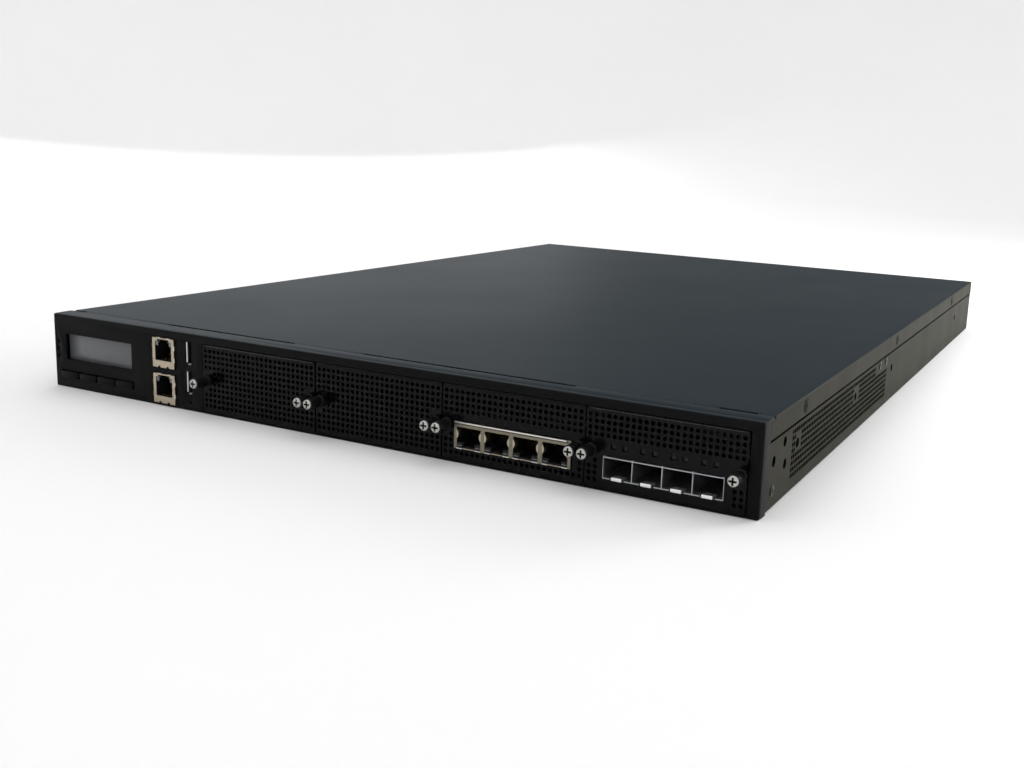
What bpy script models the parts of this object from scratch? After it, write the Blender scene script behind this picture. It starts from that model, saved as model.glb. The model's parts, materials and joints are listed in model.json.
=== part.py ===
"""A one-unit rack firewall appliance, modelled as separate parts.

Units are metres, +Z is up, the front faces -Y and the origin is the middle of the underside.
Places along the front are given from the left end, and depths from the front face.
"""
import math

import bmesh
import bpy
from mathutils import Matrix, Vector

MM = 0.001

# ---- case ---------------------------------------------------------------
WIDTH = 438 * MM
HEIGHT = 43.7 * MM
DEPTH = 620 * MM
SHEET = 1.2 * MM                  # chassis steel
COVER_SHEET = 1.0 * MM
GAP = 0.3 * MM                    # left between pieces that touch
COVER_LIP = 10.2 * MM             # how far the cover's sides hang down
COVER_FLANGE_START = 9.5 * MM     # depth at which the cover's sides begin
COVER_TOP_START = 15.6 * MM       # depth at which the cover's top begins

# ---- front bezel --------------------------------------------------------
BEZEL_PLATE = 1.6 * MM
BEZEL_SIDE_RETURN = 9.2 * MM
BEZEL_TOP_RETURN = 13.0 * MM
BEZEL_CORNER = 2.5 * MM
BEZEL_TABS = ((11.5, 79.0), (171.0, 217.0), (340.6, 412.0), (430.0, 437.5))
BEZEL_TAB_REACH = 15.2 * MM

# ---- display, keys and lights -------------------------------------------
SCREEN_X = (10.1 * MM, 64.0 * MM)
SCREEN_Z = (17.2 * MM, 32.6 * MM)
SCREEN_RECESS = 2.9 * MM
KEY_COUNT = 4
KEY_SLOT_X = (5.3 * MM, 65.3 * MM)
KEY_SLOT_Z = (5.7 * MM, 10.6 * MM)
KEY_GAP = 0.6 * MM
LIGHT_X = 3.8 * MM
LIGHT_Z = (18.6 * MM, 23.0 * MM, 27.4 * MM)
LIGHT_HOLE = 2.2 * MM
RESET_X = 109.3 * MM
RESET_Z = 4.8 * MM
RESET_HOLE = 1.6 * MM

# ---- management and USB ports -------------------------------------------
JACK_X = 90.0 * MM
JACK_WIDTH = 16.2 * MM
JACK_HEIGHT = 16.8 * MM
JACK_BOTTOMS = {"upper": 22.3 * MM, "lower": 1.8 * MM}
JACK_MOUTH_Z = 4.6 * MM           # mouth's sill above the jack's underside
USB_X = 108.0 * MM
USB_WIDTH = 5.4 * MM
USB_HEIGHT = 13.0 * MM
USB_BOTTOMS = {"upper": 26.5 * MM, "lower": 9.8 * MM}
FRONT_BOARD_DEPTH = 24.0 * MM

# ---- plug-in modules ----------------------------------------------------
BAY_LEFT = 118.8 * MM
MODULE_PITCH = 78.35 * MM
MODULE_COUNT = 4
BAY_Z = (1.2 * MM, 39.4 * MM)
PANEL_SHEET = 1.2 * MM
TRAY_INSET = 6.6 * MM             # a tray's side from its module's edge
TRAY_DEPTH = 190.0 * MM
BLANK_DEPTH = 32.0 * MM
SCREW_INSET = 3.3 * MM
SCREW_Z = 19.2 * MM
STUD_RADIUS = 1.5 * MM
SCREW_HOLE_RADIUS = 1.85 * MM
FERRULE_RADIUS = 3.1 * MM
FERRULE_LENGTH = 2.0 * MM
KNOB_RADIUS = 3.0 * MM
KNOB_LENGTH = 9.0 * MM
COPPER_PORTS = 4
COPPER_X = 315.25 * MM           # middle of the block of network jacks
COPPER_PITCH = 15.75 * MM
FIBRE_PORTS = 4
FIBRE_X = 392.9 * MM             # middle of the block of transceiver cages
FIBRE_PITCH = 14.55 * MM

# ---- rear ---------------------------------------------------------------
PSU_WIDTH = 73.3 * MM
PSU_LEFTS = (5.2 * MM, 80.2 * MM)
PSU_Z = (1.9 * MM, 41.3 * MM)
PSU_START = 386.0 * MM            # depth of the supply's inner end
PSU_PROUD = 1.5 * MM
FAN_SIZE = 40.0 * MM
FAN_THICKNESS = 28.0 * MM
FAN_X = (186.0 * MM, 229.0 * MM, 272.0 * MM)
FAN_MIDDLE_Z = 21.6 * MM
SWITCH_X = 318.0 * MM
SWITCH_Z = 21.6 * MM
SWITCH_TILT = math.radians(7)

# ---- boards -------------------------------------------------------------
BOARD = 1.6 * MM
BOARD_Z = 5.8 * MM
MAIN_BOARD_X = (161.0 * MM, 431.0 * MM)
MAIN_BOARD_Y = (214.0 * MM, 572.0 * MM)
HEATSINK_FINS = 18


for old in list(bpy.data.objects):
    bpy.data.objects.remove(old, do_unlink=True)


# ---- places -------------------------------------------------------------
def x_at(from_left):
    """X of a place measured from the appliance's left end."""
    return from_left - WIDTH / 2


def y_at(depth):
    """Y of a place measured back from the front face."""
    return depth - DEPTH / 2


def span(centre, size):
    """The low and high ends of a length about its middle."""
    return (centre - size / 2, centre + size / 2)


def module_edge(index):
    """Left edge of a module, from the appliance's left end."""
    return BAY_LEFT + index * MODULE_PITCH


def screw_places(index):
    """Where a module's two thumbscrews are, from the appliance's left end."""
    left = module_edge(index)
    return (left + SCREW_INSET, left + MODULE_PITCH - SCREW_INSET)


# ---- materials ----------------------------------------------------------
def material(name, colour, roughness, metallic=0.0, alpha=1.0):
    """A plain surface with one colour."""
    result = bpy.data.materials.new(name)
    result.use_nodes = True
    shader = result.node_tree.nodes["Principled BSDF"]
    shader.inputs["Base Color"].default_value = (*colour, 1.0)
    shader.inputs["Roughness"].default_value = roughness
    shader.inputs["Metallic"].default_value = metallic
    shader.inputs["Alpha"].default_value = alpha
    return result


CASE_PAINT = material("case_paint", (0.030, 0.032, 0.034), 0.55)
COVER_PAINT = material("cover_paint", (0.024, 0.029, 0.034), 0.50)
BEZEL_PAINT = material("bezel_paint", (0.008, 0.008, 0.009), 0.48)
MODULE_PAINT = material("module_paint", (0.007, 0.007, 0.008), 0.50)
NICKEL = material("nickel_shell", (0.52, 0.47, 0.40), 0.28, 1.0)
ZINC = material("zinc_steel", (0.50, 0.51, 0.52), 0.38, 1.0)
SCREEN = material("screen", (0.10, 0.105, 0.11), 0.25)
BLACK_PLASTIC = material("black_plastic", (0.012, 0.012, 0.013), 0.42)
BLACK_SCREW = material("black_screw", (0.015, 0.015, 0.016), 0.35, 0.6)
CLEAR_PLASTIC = material("clear_plastic", (0.05, 0.06, 0.055), 0.20)
CIRCUIT_GREEN = material("circuit_green", (0.012, 0.080, 0.035), 0.40)
ALUMINIUM = material("aluminium", (0.60, 0.61, 0.62), 0.32, 1.0)
STUD_STEEL = material("stud_steel", (0.58, 0.57, 0.55), 0.30, 1.0)


# ---- meshes -------------------------------------------------------------
def finish_mesh(name, shape):
    """Turn a bmesh into a mesh with its faces pointing out."""
    bmesh.ops.recalc_face_normals(shape, faces=shape.faces)
    result = bpy.data.meshes.new(name)
    shape.to_mesh(result)
    shape.free()
    return result


def add_box(shape, xs, ys, zs):
    """Add a box between two corners."""
    size = Vector((xs[1] - xs[0], ys[1] - ys[0], zs[1] - zs[0]))
    middle = Vector((sum(xs) / 2, sum(ys) / 2, sum(zs) / 2))
    placed = Matrix.Translation(middle) @ Matrix.Diagonal((*size, 1.0))
    bmesh.ops.create_cube(shape, size=1.0, matrix=placed)


def add_rod(shape, x, z, ys, radius, sides=24):
    """Add a cylinder that runs along Y."""
    turned = Matrix.Rotation(math.pi / 2, 4, "X")
    placed = Matrix.Translation((x, sum(ys) / 2, z)) @ turned
    bmesh.ops.create_cone(
        shape, cap_ends=True, segments=sides, radius1=radius, radius2=radius,
        depth=ys[1] - ys[0], matrix=placed)


def add_post(shape, x, y, zs, radius, sides=12):
    """Add an upright cylinder."""
    placed = Matrix.Translation((x, y, sum(zs) / 2))
    bmesh.ops.create_cone(
        shape, cap_ends=True, segments=sides, radius1=radius, radius2=radius,
        depth=zs[1] - zs[0], matrix=placed)


def add_prism(shape, outline, push):
    """Close an outline of 3-D points and extrude it by a vector."""
    corners = [shape.verts.new(point) for point in outline]
    face = shape.faces.new(corners)
    swept = bmesh.ops.extrude_face_region(shape, geom=[face])
    moved = [item for item in swept["geom"] if isinstance(item, bmesh.types.BMVert)]
    bmesh.ops.translate(shape, verts=moved, vec=push)


def box_mesh(name, *boxes):
    """A mesh of one or more boxes that stay clear of each other."""
    shape = bmesh.new()
    for xs, ys, zs in boxes:
        add_box(shape, xs, ys, zs)
    return finish_mesh(name, shape)


def rod_mesh(name, rods, sides=24):
    """A mesh of cylinders along Y: (x, z, y span, radius) each."""
    shape = bmesh.new()
    for x, z, ys, radius in rods:
        add_rod(shape, x, z, ys, radius, sides)
    return finish_mesh(name, shape)


def prism_mesh(name, outline, push):
    """A mesh of one extruded outline."""
    shape = bmesh.new()
    add_prism(shape, outline, push)
    return finish_mesh(name, shape)


# ---- objects ------------------------------------------------------------
def place(name, mesh, surface, origin=(0, 0, 0)):
    """Make a named part, with its origin moved to a point of the part."""
    if surface.name not in mesh.materials:
        mesh.materials.append(surface)
    result = bpy.data.objects.new(name, mesh)
    result.location = origin
    bpy.context.scene.collection.objects.link(result)
    return result


def combine(part, mesh, operation, origin=(0, 0, 0)):
    """Cut a shape from a part, or weld it on, with a Boolean modifier."""
    helper = bpy.data.objects.new(f"{part.name}_{operation.lower()}_{len(part.modifiers)}", mesh)
    helper.location = origin
    helper.hide_render = True
    helper.display_type = "WIRE"
    bpy.context.scene.collection.objects.link(helper)
    change = part.modifiers.new(helper.name, "BOOLEAN")
    change.operation = operation
    change.solver = "EXACT"
    change.object = helper


def cut(part, mesh, origin=(0, 0, 0)):
    combine(part, mesh, "DIFFERENCE", origin)


def weld(part, mesh, origin=(0, 0, 0)):
    combine(part, mesh, "UNION", origin)


def smooth(mesh, angle=35):
    """Shade the round faces smooth and keep the edges sharp."""
    mesh.shade_smooth()
    mesh.set_sharp_from_angle(angle=math.radians(angle))
    return mesh


# ---- case ---------------------------------------------------------------
def chassis_outline():
    """Cross-section of the bent tray: a floor and two walls set in at the top."""
    half = WIDTH / 2 - 0.2 * MM
    step = HEIGHT - COVER_LIP - GAP
    inset = COVER_SHEET + 0.1 * MM
    top = HEIGHT - COVER_SHEET - GAP
    right = [
        (half, 0), (half, step), (half - inset, step), (half - inset, top),
        (half - inset - SHEET, top), (half - inset - SHEET, step - SHEET),
        (half - SHEET, step - SHEET), (half - SHEET, SHEET)]
    left = [(-x, z) for x, z in reversed(right)]
    return right + left


def build_chassis():
    """Floor, walls, rear panel, module dividers and stand-offs in one tray."""
    start = y_at(BEZEL_SIDE_RETURN + 2 * GAP)
    outline = [(x, start, z) for x, z in chassis_outline()]
    length = DEPTH - BEZEL_SIDE_RETURN - 2 * GAP
    part = place("chassis_tray", prism_mesh("chassis", outline, (0, length, 0)), CASE_PAINT)
    inner = WIDTH / 2 - 1.9 * MM
    rear = (y_at(DEPTH - SHEET), y_at(DEPTH))
    weld(part, box_mesh("rear_wall", ((-inner, inner), rear, (0.6 * MM, HEIGHT - 1.3 * MM))))

    fins = []
    for index in range(MODULE_COUNT + 1):
        middle = x_at(module_edge(index))
        fins.append((span(middle, 1.0 * MM), (y_at(10 * MM), y_at(197 * MM)), (0.6 * MM, 30 * MM)))
    weld(part, box_mesh("divider_fins", *fins))
    lugs = []
    for index in range(MODULE_COUNT + 1):
        middle = x_at(module_edge(index))
        low = middle - (0.6 * MM if index == 0 else 6 * MM)
        high = middle + (0.6 * MM if index == MODULE_COUNT else 6 * MM)
        lugs.append(((low, high), (y_at(1.7 * MM), y_at(13 * MM)), (1.6 * MM, 26 * MM)))
    weld(part, box_mesh("screw_lugs", *lugs))

    posts = bmesh.new()
    for x in (175, 300, 420):
        for depth in (228, 390, 558):
            add_post(posts, x_at(x * MM), y_at(depth * MM), (0.6 * MM, BOARD_Z - GAP), 3 * MM)
    for x in (20, 78):
        for depth in (222, 308):
            add_post(posts, x_at(x * MM), y_at(depth * MM), (0.6 * MM, 5.2 * MM), 3 * MM)
    weld(part, finish_mesh("stand_offs", posts))

    holes = []
    for index in range(MODULE_COUNT):
        for from_left in screw_places(index):
            through = (y_at(0), y_at(15 * MM))
            holes.append((x_at(from_left), SCREW_Z, through, SCREW_HOLE_RADIUS))
    cut(part, rod_mesh("screw_holes", holes, 16))

    through = (y_at(DEPTH - 5 * MM), y_at(DEPTH + 5 * MM))
    bay = (x_at(PSU_LEFTS[0]) - 0.6 * MM, x_at(PSU_LEFTS[1] + PSU_WIDTH) + 0.6 * MM)
    switch = (span(x_at(SWITCH_X), 13.4 * MM), through, span(SWITCH_Z, 19.6 * MM))
    cut(part, box_mesh("rear_openings", (bay, through, (1.5 * MM, 41.7 * MM)), switch))
    fan_holes = [(x_at(x), FAN_MIDDLE_Z, through, 18.6 * MM) for x in FAN_X]
    cut(part, rod_mesh("fan_holes", fan_holes, 32))


def build_cover():
    """Lid with two hanging sides and rounded long edges."""
    half = WIDTH / 2
    radius = 1.0 * MM
    corner = []
    for step in range(4):
        angle = math.radians(30 * step)
        corner.append((half - radius + radius * math.cos(angle),
                       HEIGHT - radius + radius * math.sin(angle)))
    inside = half - COVER_SHEET
    bottom = HEIGHT - COVER_LIP
    right = [(inside, HEIGHT - COVER_SHEET), (inside, bottom), (half, bottom)] + corner
    left = [(-x, z) for x, z in reversed(right)]
    start = y_at(COVER_FLANGE_START)
    outline = [(x, start, z) for x, z in right + left]
    length = DEPTH - COVER_FLANGE_START
    part = place("top_cover", prism_mesh("cover", outline, (0, length, 0)), COVER_PAINT)
    front = (start - 1 * MM, y_at(COVER_TOP_START))
    cut(part, box_mesh("cover_front", ((-half - 1 * MM, half + 1 * MM), front,
                                       (HEIGHT - COVER_SHEET - GAP, HEIGHT + 1 * MM))))


def bezel_outline():
    """Plan of the bezel's block, with its two front corners rounded."""
    half = WIDTH / 2
    back = y_at(BEZEL_SIDE_RETURN)
    front = y_at(0)
    corner = []
    for step in range(6):
        angle = math.radians(18 * step)
        corner.append((half - BEZEL_CORNER + BEZEL_CORNER * math.sin(angle),
                       front + BEZEL_CORNER - BEZEL_CORNER * math.cos(angle)))
    right = corner + [(half, back)]
    left = [(-x, y) for x, y in reversed(right)]
    return [(x, y, 0) for x, y in right + left]


def build_bezel():
    """Front frame with its returns and every opening of the front face."""
    part = place("front_bezel", prism_mesh("bezel", bezel_outline(), (0, 0, HEIGHT)), BEZEL_PAINT)
    side = WIDTH / 2
    roof = (HEIGHT - COVER_SHEET, HEIGHT)
    inside = (-side + SHEET, side - SHEET)
    hollow = (inside, (y_at(BEZEL_PLATE), y_at(30 * MM)), (COVER_SHEET, HEIGHT - COVER_SHEET))
    cut(part, box_mesh("bezel_hollow", hollow))
    strip = ((-side, side), (y_at(BEZEL_SIDE_RETURN - 1 * MM), y_at(BEZEL_TOP_RETURN)), roof)
    weld(part, box_mesh("bezel_strip", strip))
    tabs = []
    for left, right in BEZEL_TABS:
        reach = (y_at(BEZEL_TOP_RETURN - 1 * MM), y_at(BEZEL_TAB_REACH))
        tabs.append(((x_at(left * MM), x_at(right * MM)), reach, roof))
    weld(part, box_mesh("bezel_tabs", *tabs))

    through = (y_at(-2 * MM), y_at(5 * MM))
    bay = (x_at(BAY_LEFT - 0.2 * MM), x_at(module_edge(MODULE_COUNT) + 0.2 * MM))
    openings = [
        (bay, through, BAY_Z),
        ((x_at(SCREEN_X[0]), x_at(SCREEN_X[1])), through, SCREEN_Z),
        ((x_at(KEY_SLOT_X[0]), x_at(KEY_SLOT_X[1])), through, KEY_SLOT_Z)]
    for bottom in JACK_BOTTOMS.values():
        openings.append((span(x_at(JACK_X), JACK_WIDTH + 2 * GAP), through,
                         (bottom - GAP, bottom + JACK_HEIGHT + GAP)))
    for bottom in USB_BOTTOMS.values():
        openings.append((span(x_at(USB_X), USB_WIDTH + 2 * GAP), through,
                         (bottom - GAP, bottom + USB_HEIGHT + GAP)))
    cut(part, box_mesh("bezel_openings", *openings))
    small = [(x_at(LIGHT_X), z, through, LIGHT_HOLE / 2) for z in LIGHT_Z]
    small.append((x_at(RESET_X), RESET_Z, through, RESET_HOLE / 2))
    cut(part, rod_mesh("bezel_pinholes", small, 16))


# ---- front panel parts --------------------------------------------------
def build_display():
    """Screen block on its own small board."""
    screen = ((x_at(SCREEN_X[0] - 1.4 * MM), x_at(SCREEN_X[1] + 1.4 * MM)),
              (y_at(SCREEN_RECESS), y_at(10 * MM)),
              (SCREEN_Z[0] - 1.6 * MM, SCREEN_Z[1] + 1.6 * MM))
    part = place("lcd_display", box_mesh("display", screen), SCREEN)
    board = ((x_at(7 * MM), x_at(71 * MM)), (y_at(9.6 * MM), y_at(11.2 * MM)), (13 * MM, 37 * MM))
    weld(part, box_mesh("display_board", board))


def build_keys():
    """Row of menu keys, each a cap with a stem behind it."""
    pitch = (KEY_SLOT_X[1] - KEY_SLOT_X[0]) / KEY_COUNT
    middle_z = sum(KEY_SLOT_Z) / 2
    cap_width = pitch - KEY_GAP
    cap_height = KEY_SLOT_Z[1] - KEY_SLOT_Z[0] - 2 * GAP
    for index in range(KEY_COUNT):
        x = x_at(KEY_SLOT_X[0] + pitch * (index + 0.5))
        front = Vector((x, y_at(-0.6 * MM), middle_z))
        cap = box_mesh("key_cap", (span(0, cap_width), (0, 6.6 * MM), span(0, cap_height)))
        part = place(f"menu_key_{index + 1}", cap, BLACK_PLASTIC, front)
        stem = box_mesh("key_stem", (span(0, 3 * MM), (6 * MM, 21.2 * MM), span(0, 3 * MM)))
        weld(part, stem, front)


def build_light_pipes():
    """One clear moulding that carries three lights to the face."""
    block = (span(x_at(LIGHT_X), 2.8 * MM), (y_at(3.6 * MM), y_at(8 * MM)),
             (LIGHT_Z[0] - 1.8 * MM, LIGHT_Z[2] + 1.8 * MM))
    part = place("status_light_pipes", box_mesh("pipe_block", block), CLEAR_PLASTIC)
    pins = [(x_at(LIGHT_X), z, (y_at(0.2 * MM), y_at(5 * MM)), 0.8 * MM) for z in LIGHT_Z]
    weld(part, smooth(rod_mesh("pipe_pins", pins, 12)))


def build_reset():
    """Recessed reset plunger behind its pinhole."""
    face = Vector((x_at(RESET_X), y_at(2.2 * MM), RESET_Z))
    body = rod_mesh("reset_body", [(0, 0, (0, 6 * MM), 1.2 * MM)], 16)
    part = place("reset_button", smooth(body), BLACK_PLASTIC, face)
    weld(part, rod_mesh("reset_stem", [(0, 0, (5 * MM, 19.5 * MM), 0.8 * MM)], 12), face)


def jack_mouth(middle, sill, front, depth, tab_up):
    """Stepped mouth of a network jack: the plug's body and its latch notch."""
    steps = ((6.2, 0.0, 7.6), (3.6, 7.5, 9.8), (2.0, 9.7, 11.1))
    boxes = []
    for half_width, low, high in steps:
        zs = (sill + low * MM, sill + high * MM)
        if not tab_up:
            zs = (sill - high * MM, sill - low * MM)
        boxes.append(((middle - half_width * MM, middle + half_width * MM),
                      (front - 1 * MM, front + depth), zs))
    return boxes


def build_management_jacks():
    """Two stacked network jacks with their latch notches on top."""
    front = y_at(-1.0 * MM)
    back = y_at(FRONT_BOARD_DEPTH) - GAP
    for level, bottom in JACK_BOTTOMS.items():
        shell = (span(x_at(JACK_X), JACK_WIDTH), (front, back), (bottom, bottom + JACK_HEIGHT))
        part = place(f"management_port_{level}", box_mesh("jack_shell", shell), NICKEL)
        for box in jack_mouth(x_at(JACK_X), bottom + JACK_MOUTH_Z, front, 14 * MM, True):
            cut(part, box_mesh("jack_mouth", box))


def build_usb_ports():
    """Two upright USB sockets, each with its contact tongue."""
    front = y_at(0)
    back = y_at(FRONT_BOARD_DEPTH) - GAP
    for level, bottom in USB_BOTTOMS.items():
        zs = (bottom, bottom + USB_HEIGHT)
        part = place(f"usb_port_{level}",
                     box_mesh("usb_shell", (span(x_at(USB_X), USB_WIDTH), (front, back), zs)), NICKEL)
        cut(part, box_mesh("usb_mouth", (span(x_at(USB_X), USB_WIDTH - 0.8 * MM),
                                         (front - 1 * MM, front + 12 * MM),
                                         (zs[0] + 0.4 * MM, zs[1] - 0.4 * MM))))
        tongue = (span(x_at(USB_X - 1.0 * MM), 1.9 * MM), (front + 0.6 * MM, front + 13 * MM),
                  (zs[0] + 1.2 * MM, zs[1] - 1.2 * MM))
        weld(part, box_mesh("usb_tongue", tongue))


def build_front_board():
    """Upright board behind the ports, with a switch behind each key."""
    ys = (y_at(FRONT_BOARD_DEPTH), y_at(FRONT_BOARD_DEPTH + BOARD))
    plate = ((x_at(5 * MM), x_at(115 * MM)), ys, (2.6 * MM, 39 * MM))
    part = place("front_io_board", box_mesh("front_board", plate), CIRCUIT_GREEN)
    pitch = (KEY_SLOT_X[1] - KEY_SLOT_X[0]) / KEY_COUNT
    switches = []
    for index in range(KEY_COUNT):
        x = x_at(KEY_SLOT_X[0] + pitch * (index + 0.5))
        switches.append((span(x, 6 * MM), (y_at(22.0 * MM), ys[0] + 0.5 * MM),
                         span(sum(KEY_SLOT_Z) / 2, 6 * MM)))
    weld(part, box_mesh("key_switches", *switches))


# ---- modules ------------------------------------------------------------
def build_module_tray(name, index, depth, openings=()):
    """Face panel with two screw ferrules and a folded tray behind it."""
    left = x_at(module_edge(index)) + GAP
    right = x_at(module_edge(index + 1)) - GAP
    face = ((left, right), (y_at(0), y_at(PANEL_SHEET)), (BAY_Z[0] + GAP, BAY_Z[1] - GAP))
    part = place(name, box_mesh("module_face", face), MODULE_PAINT)
    low = x_at(module_edge(index) + TRAY_INSET)
    high = x_at(module_edge(index + 1) - TRAY_INSET)
    start = y_at(PANEL_SHEET / 2)
    floor, top, sheet = 2.0 * MM, 12.0 * MM, 1.0 * MM
    outline = [(low, floor), (high, floor), (high, top), (high - sheet, top),
               (high - sheet, floor + sheet), (low + sheet, floor + sheet),
               (low + sheet, top), (low, top)]
    channel = [(x, start, z) for x, z in outline]
    weld(part, prism_mesh("module_channel", channel, (0, depth, 0)))
    screws = [x_at(from_left) for from_left in screw_places(index)]
    ferrule = (y_at(-FERRULE_LENGTH), y_at(PANEL_SHEET / 2))
    weld(part, rod_mesh("ferrules", [(x, SCREW_Z, ferrule, FERRULE_RADIUS) for x in screws], 24))
    through = (y_at(-4 * MM), y_at(4 * MM))
    cut(part, rod_mesh("screw_ways", [(x, SCREW_Z, through, SCREW_HOLE_RADIUS) for x in screws], 16))
    if openings:
        cut(part, box_mesh("port_openings", *openings))


def build_thumbscrews(index):
    """A module's two captive screws: a threaded stud and a knurled knob each."""
    for side, from_left in enumerate(screw_places(index)):
        number = 2 * index + side + 1
        seat = Vector((x_at(from_left), y_at(-FERRULE_LENGTH), SCREW_Z))
        stud = rod_mesh("stud", [(0, 0, (0, 11 * MM), STUD_RADIUS)], 12)
        place(f"thumbscrew_stud_{number}", smooth(stud), STUD_STEEL, seat)
        knob_end = Vector((seat.x, seat.y - GAP, seat.z))
        shape = bmesh.new()
        add_rod(shape, 0, 0, (-KNOB_LENGTH, 0), KNOB_RADIUS, 20)
        ends = [edge for edge in shape.edges if abs(edge.verts[0].co.y - edge.verts[1].co.y) < MM / 10]
        bmesh.ops.bevel(shape, geom=ends, offset=0.4 * MM, segments=1, affect="EDGES")
        place(f"thumbscrew_knob_{number}", smooth(finish_mesh("knob", shape)), BLACK_SCREW, knob_end)


def board_mesh(index, bottom):
    """Module board that fills its tray."""
    xs = (x_at(module_edge(index) + TRAY_INSET + 1.5 * MM),
          x_at(module_edge(index + 1) - TRAY_INSET - 1.5 * MM))
    return box_mesh("module_board", (xs, (y_at(1.7 * MM), y_at(196.5 * MM)), (bottom, bottom + BOARD)))


def build_copper_module(index):
    """Module with a row of four network jacks in one shielded block."""
    middle = x_at(COPPER_X)
    width = COPPER_PORTS * COPPER_PITCH + 0.7 * MM
    zs = (7.7 * MM, 21.4 * MM)
    window = (span(middle, width + 2 * GAP), (y_at(-3 * MM), y_at(26 * MM)), (zs[0] - GAP, zs[1] + GAP))
    build_module_tray("copper_module_tray", index, TRAY_DEPTH, (window,))
    place("copper_module_board", board_mesh(index, 5.8 * MM), CIRCUIT_GREEN)
    front = y_at(-1.0 * MM)
    part = place("copper_port_block",
                 box_mesh("copper_block", (span(middle, width), (front, y_at(24 * MM)), zs)), NICKEL)
    for port in range(COPPER_PORTS):
        x = middle + (port - (COPPER_PORTS - 1) / 2) * COPPER_PITCH
        mouth = (span(x, 13.0 * MM), (front - 1 * MM, front + 14 * MM), (10.9 * MM, 18.6 * MM))
        notch = (span(x, 6.4 * MM), (front - 1 * MM, front + 14 * MM), (8.9 * MM, 11.0 * MM))
        cut(part, box_mesh("copper_mouth", mouth))
        cut(part, box_mesh("copper_notch", notch))
    build_thumbscrews(index)


def build_fibre_module(index):
    """Module with a row of four pluggable-transceiver cages."""
    middle = x_at(FIBRE_X)
    width = FIBRE_PORTS * FIBRE_PITCH
    zs = (6.5 * MM, 17.0 * MM)
    window = (span(middle, width + 2 * GAP), (y_at(-3 * MM), y_at(3 * MM)), (zs[0] - GAP, zs[1] + GAP))
    build_module_tray("fibre_module_tray", index, TRAY_DEPTH, (window,))
    place("fibre_module_board", board_mesh(index, 4.6 * MM), CIRCUIT_GREEN)
    front = y_at(-1.2 * MM)
    part = place("fibre_cage_block",
                 box_mesh("cage_block", (span(middle, width), (front, y_at(50 * MM)), zs)), NICKEL)
    mouths = []
    for port in range(FIBRE_PORTS):
        x = middle + (port - (FIBRE_PORTS - 1) / 2) * FIBRE_PITCH
        mouths.append((span(x, 13.8 * MM), (front - 1 * MM, front + 46 * MM), (7.2 * MM, 16.3 * MM)))
    cut(part, box_mesh("cage_mouths", *mouths))
    build_thumbscrews(index)


# ---- boards inside ------------------------------------------------------
def build_backplane():
    """Upright board that the modules plug into."""
    ys = (y_at(204 * MM), y_at(204 * MM + BOARD))
    part = place("module_backplane",
                 box_mesh("backplane", ((x_at(122 * MM), x_at(430 * MM)), ys, (4 * MM, 38 * MM))),
                 CIRCUIT_GREEN)
    sockets = []
    for index in range(MODULE_COUNT):
        middle = x_at(module_edge(index) + MODULE_PITCH / 2)
        sockets.append((span(middle, 52 * MM), (y_at(197.2 * MM), ys[0] + 0.5 * MM), (4.8 * MM, 12 * MM)))
    weld(part, box_mesh("module_sockets", *sockets))


def build_main_board():
    """Main board with its processor socket and memory sockets."""
    xs = (x_at(MAIN_BOARD_X[0]), x_at(MAIN_BOARD_X[1]))
    ys = (y_at(MAIN_BOARD_Y[0]), y_at(MAIN_BOARD_Y[1]))
    part = place("main_board", box_mesh("main_plate", (xs, ys, (BOARD_Z, BOARD_Z + BOARD))), CIRCUIT_GREEN)
    rise = (BOARD_Z + BOARD / 2, BOARD_Z + BOARD + 3.4 * MM)
    parts = [(span(x_at(345 * MM), 60 * MM), span(y_at(340 * MM), 60 * MM), rise)]
    for x in (225, 245):
        parts.append((span(x_at(x * MM), 6.5 * MM), span(y_at(345 * MM), 142 * MM), rise))
    parts.append((span(x_at(345 * MM), 120 * MM), span(y_at(224 * MM), 7 * MM), rise))
    parts.append((span(x_at(400 * MM), 26 * MM), span(y_at(520 * MM), 26 * MM), rise))
    weld(part, box_mesh("board_sockets", *parts))
    top = BOARD_Z + BOARD + 3.4 * MM + GAP
    for number, x in enumerate((225, 245), start=1):
        board = (span(x_at(x * MM), 1.4 * MM), span(y_at(345 * MM), 133 * MM), (top, top + 27 * MM))
        module = place(f"memory_module_{number}", box_mesh("memory_board", board), CIRCUIT_GREEN)
        chips = []
        for chip in range(8):
            y = y_at(345 * MM) + (chip - 3.5) * 16 * MM
            chips.append((span(x_at(x * MM), 3.6 * MM), span(y, 11 * MM), (top + 8 * MM, top + 22 * MM)))
        weld(module, box_mesh("memory_chips", *chips))


def build_heatsink():
    """Processor heatsink: a base and straight fins along the air flow."""
    base_z = BOARD_Z + BOARD + 3.4 * MM + GAP
    width, height, base = 92 * MM, 25 * MM, 4 * MM
    left = x_at(345 * MM) - width / 2
    pitch = width / (HEATSINK_FINS - 0.5)
    outline = [(left, base_z), (left + width, base_z)]
    for fin in reversed(range(HEATSINK_FINS)):
        x = left + fin * pitch
        outline += [(x + pitch / 2, base_z + height), (x, base_z + height)]
        if fin:
            outline += [(x, base_z + base), (x - pitch / 2, base_z + base)]
    profile = [(x, y_at(294 * MM), z) for x, z in outline]
    mesh = prism_mesh("heatsink", profile, (0, 92 * MM, 0))
    place("cpu_heatsink", mesh, ALUMINIUM)


def build_drive():
    """Solid-state drive on the floor beside the main board."""
    case = ((x_at(14 * MM), x_at(84 * MM)), (y_at(215 * MM), y_at(315 * MM)), (5.5 * MM, 12.5 * MM))
    place("solid_state_drive", box_mesh("drive", case), ALUMINIUM)


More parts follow.
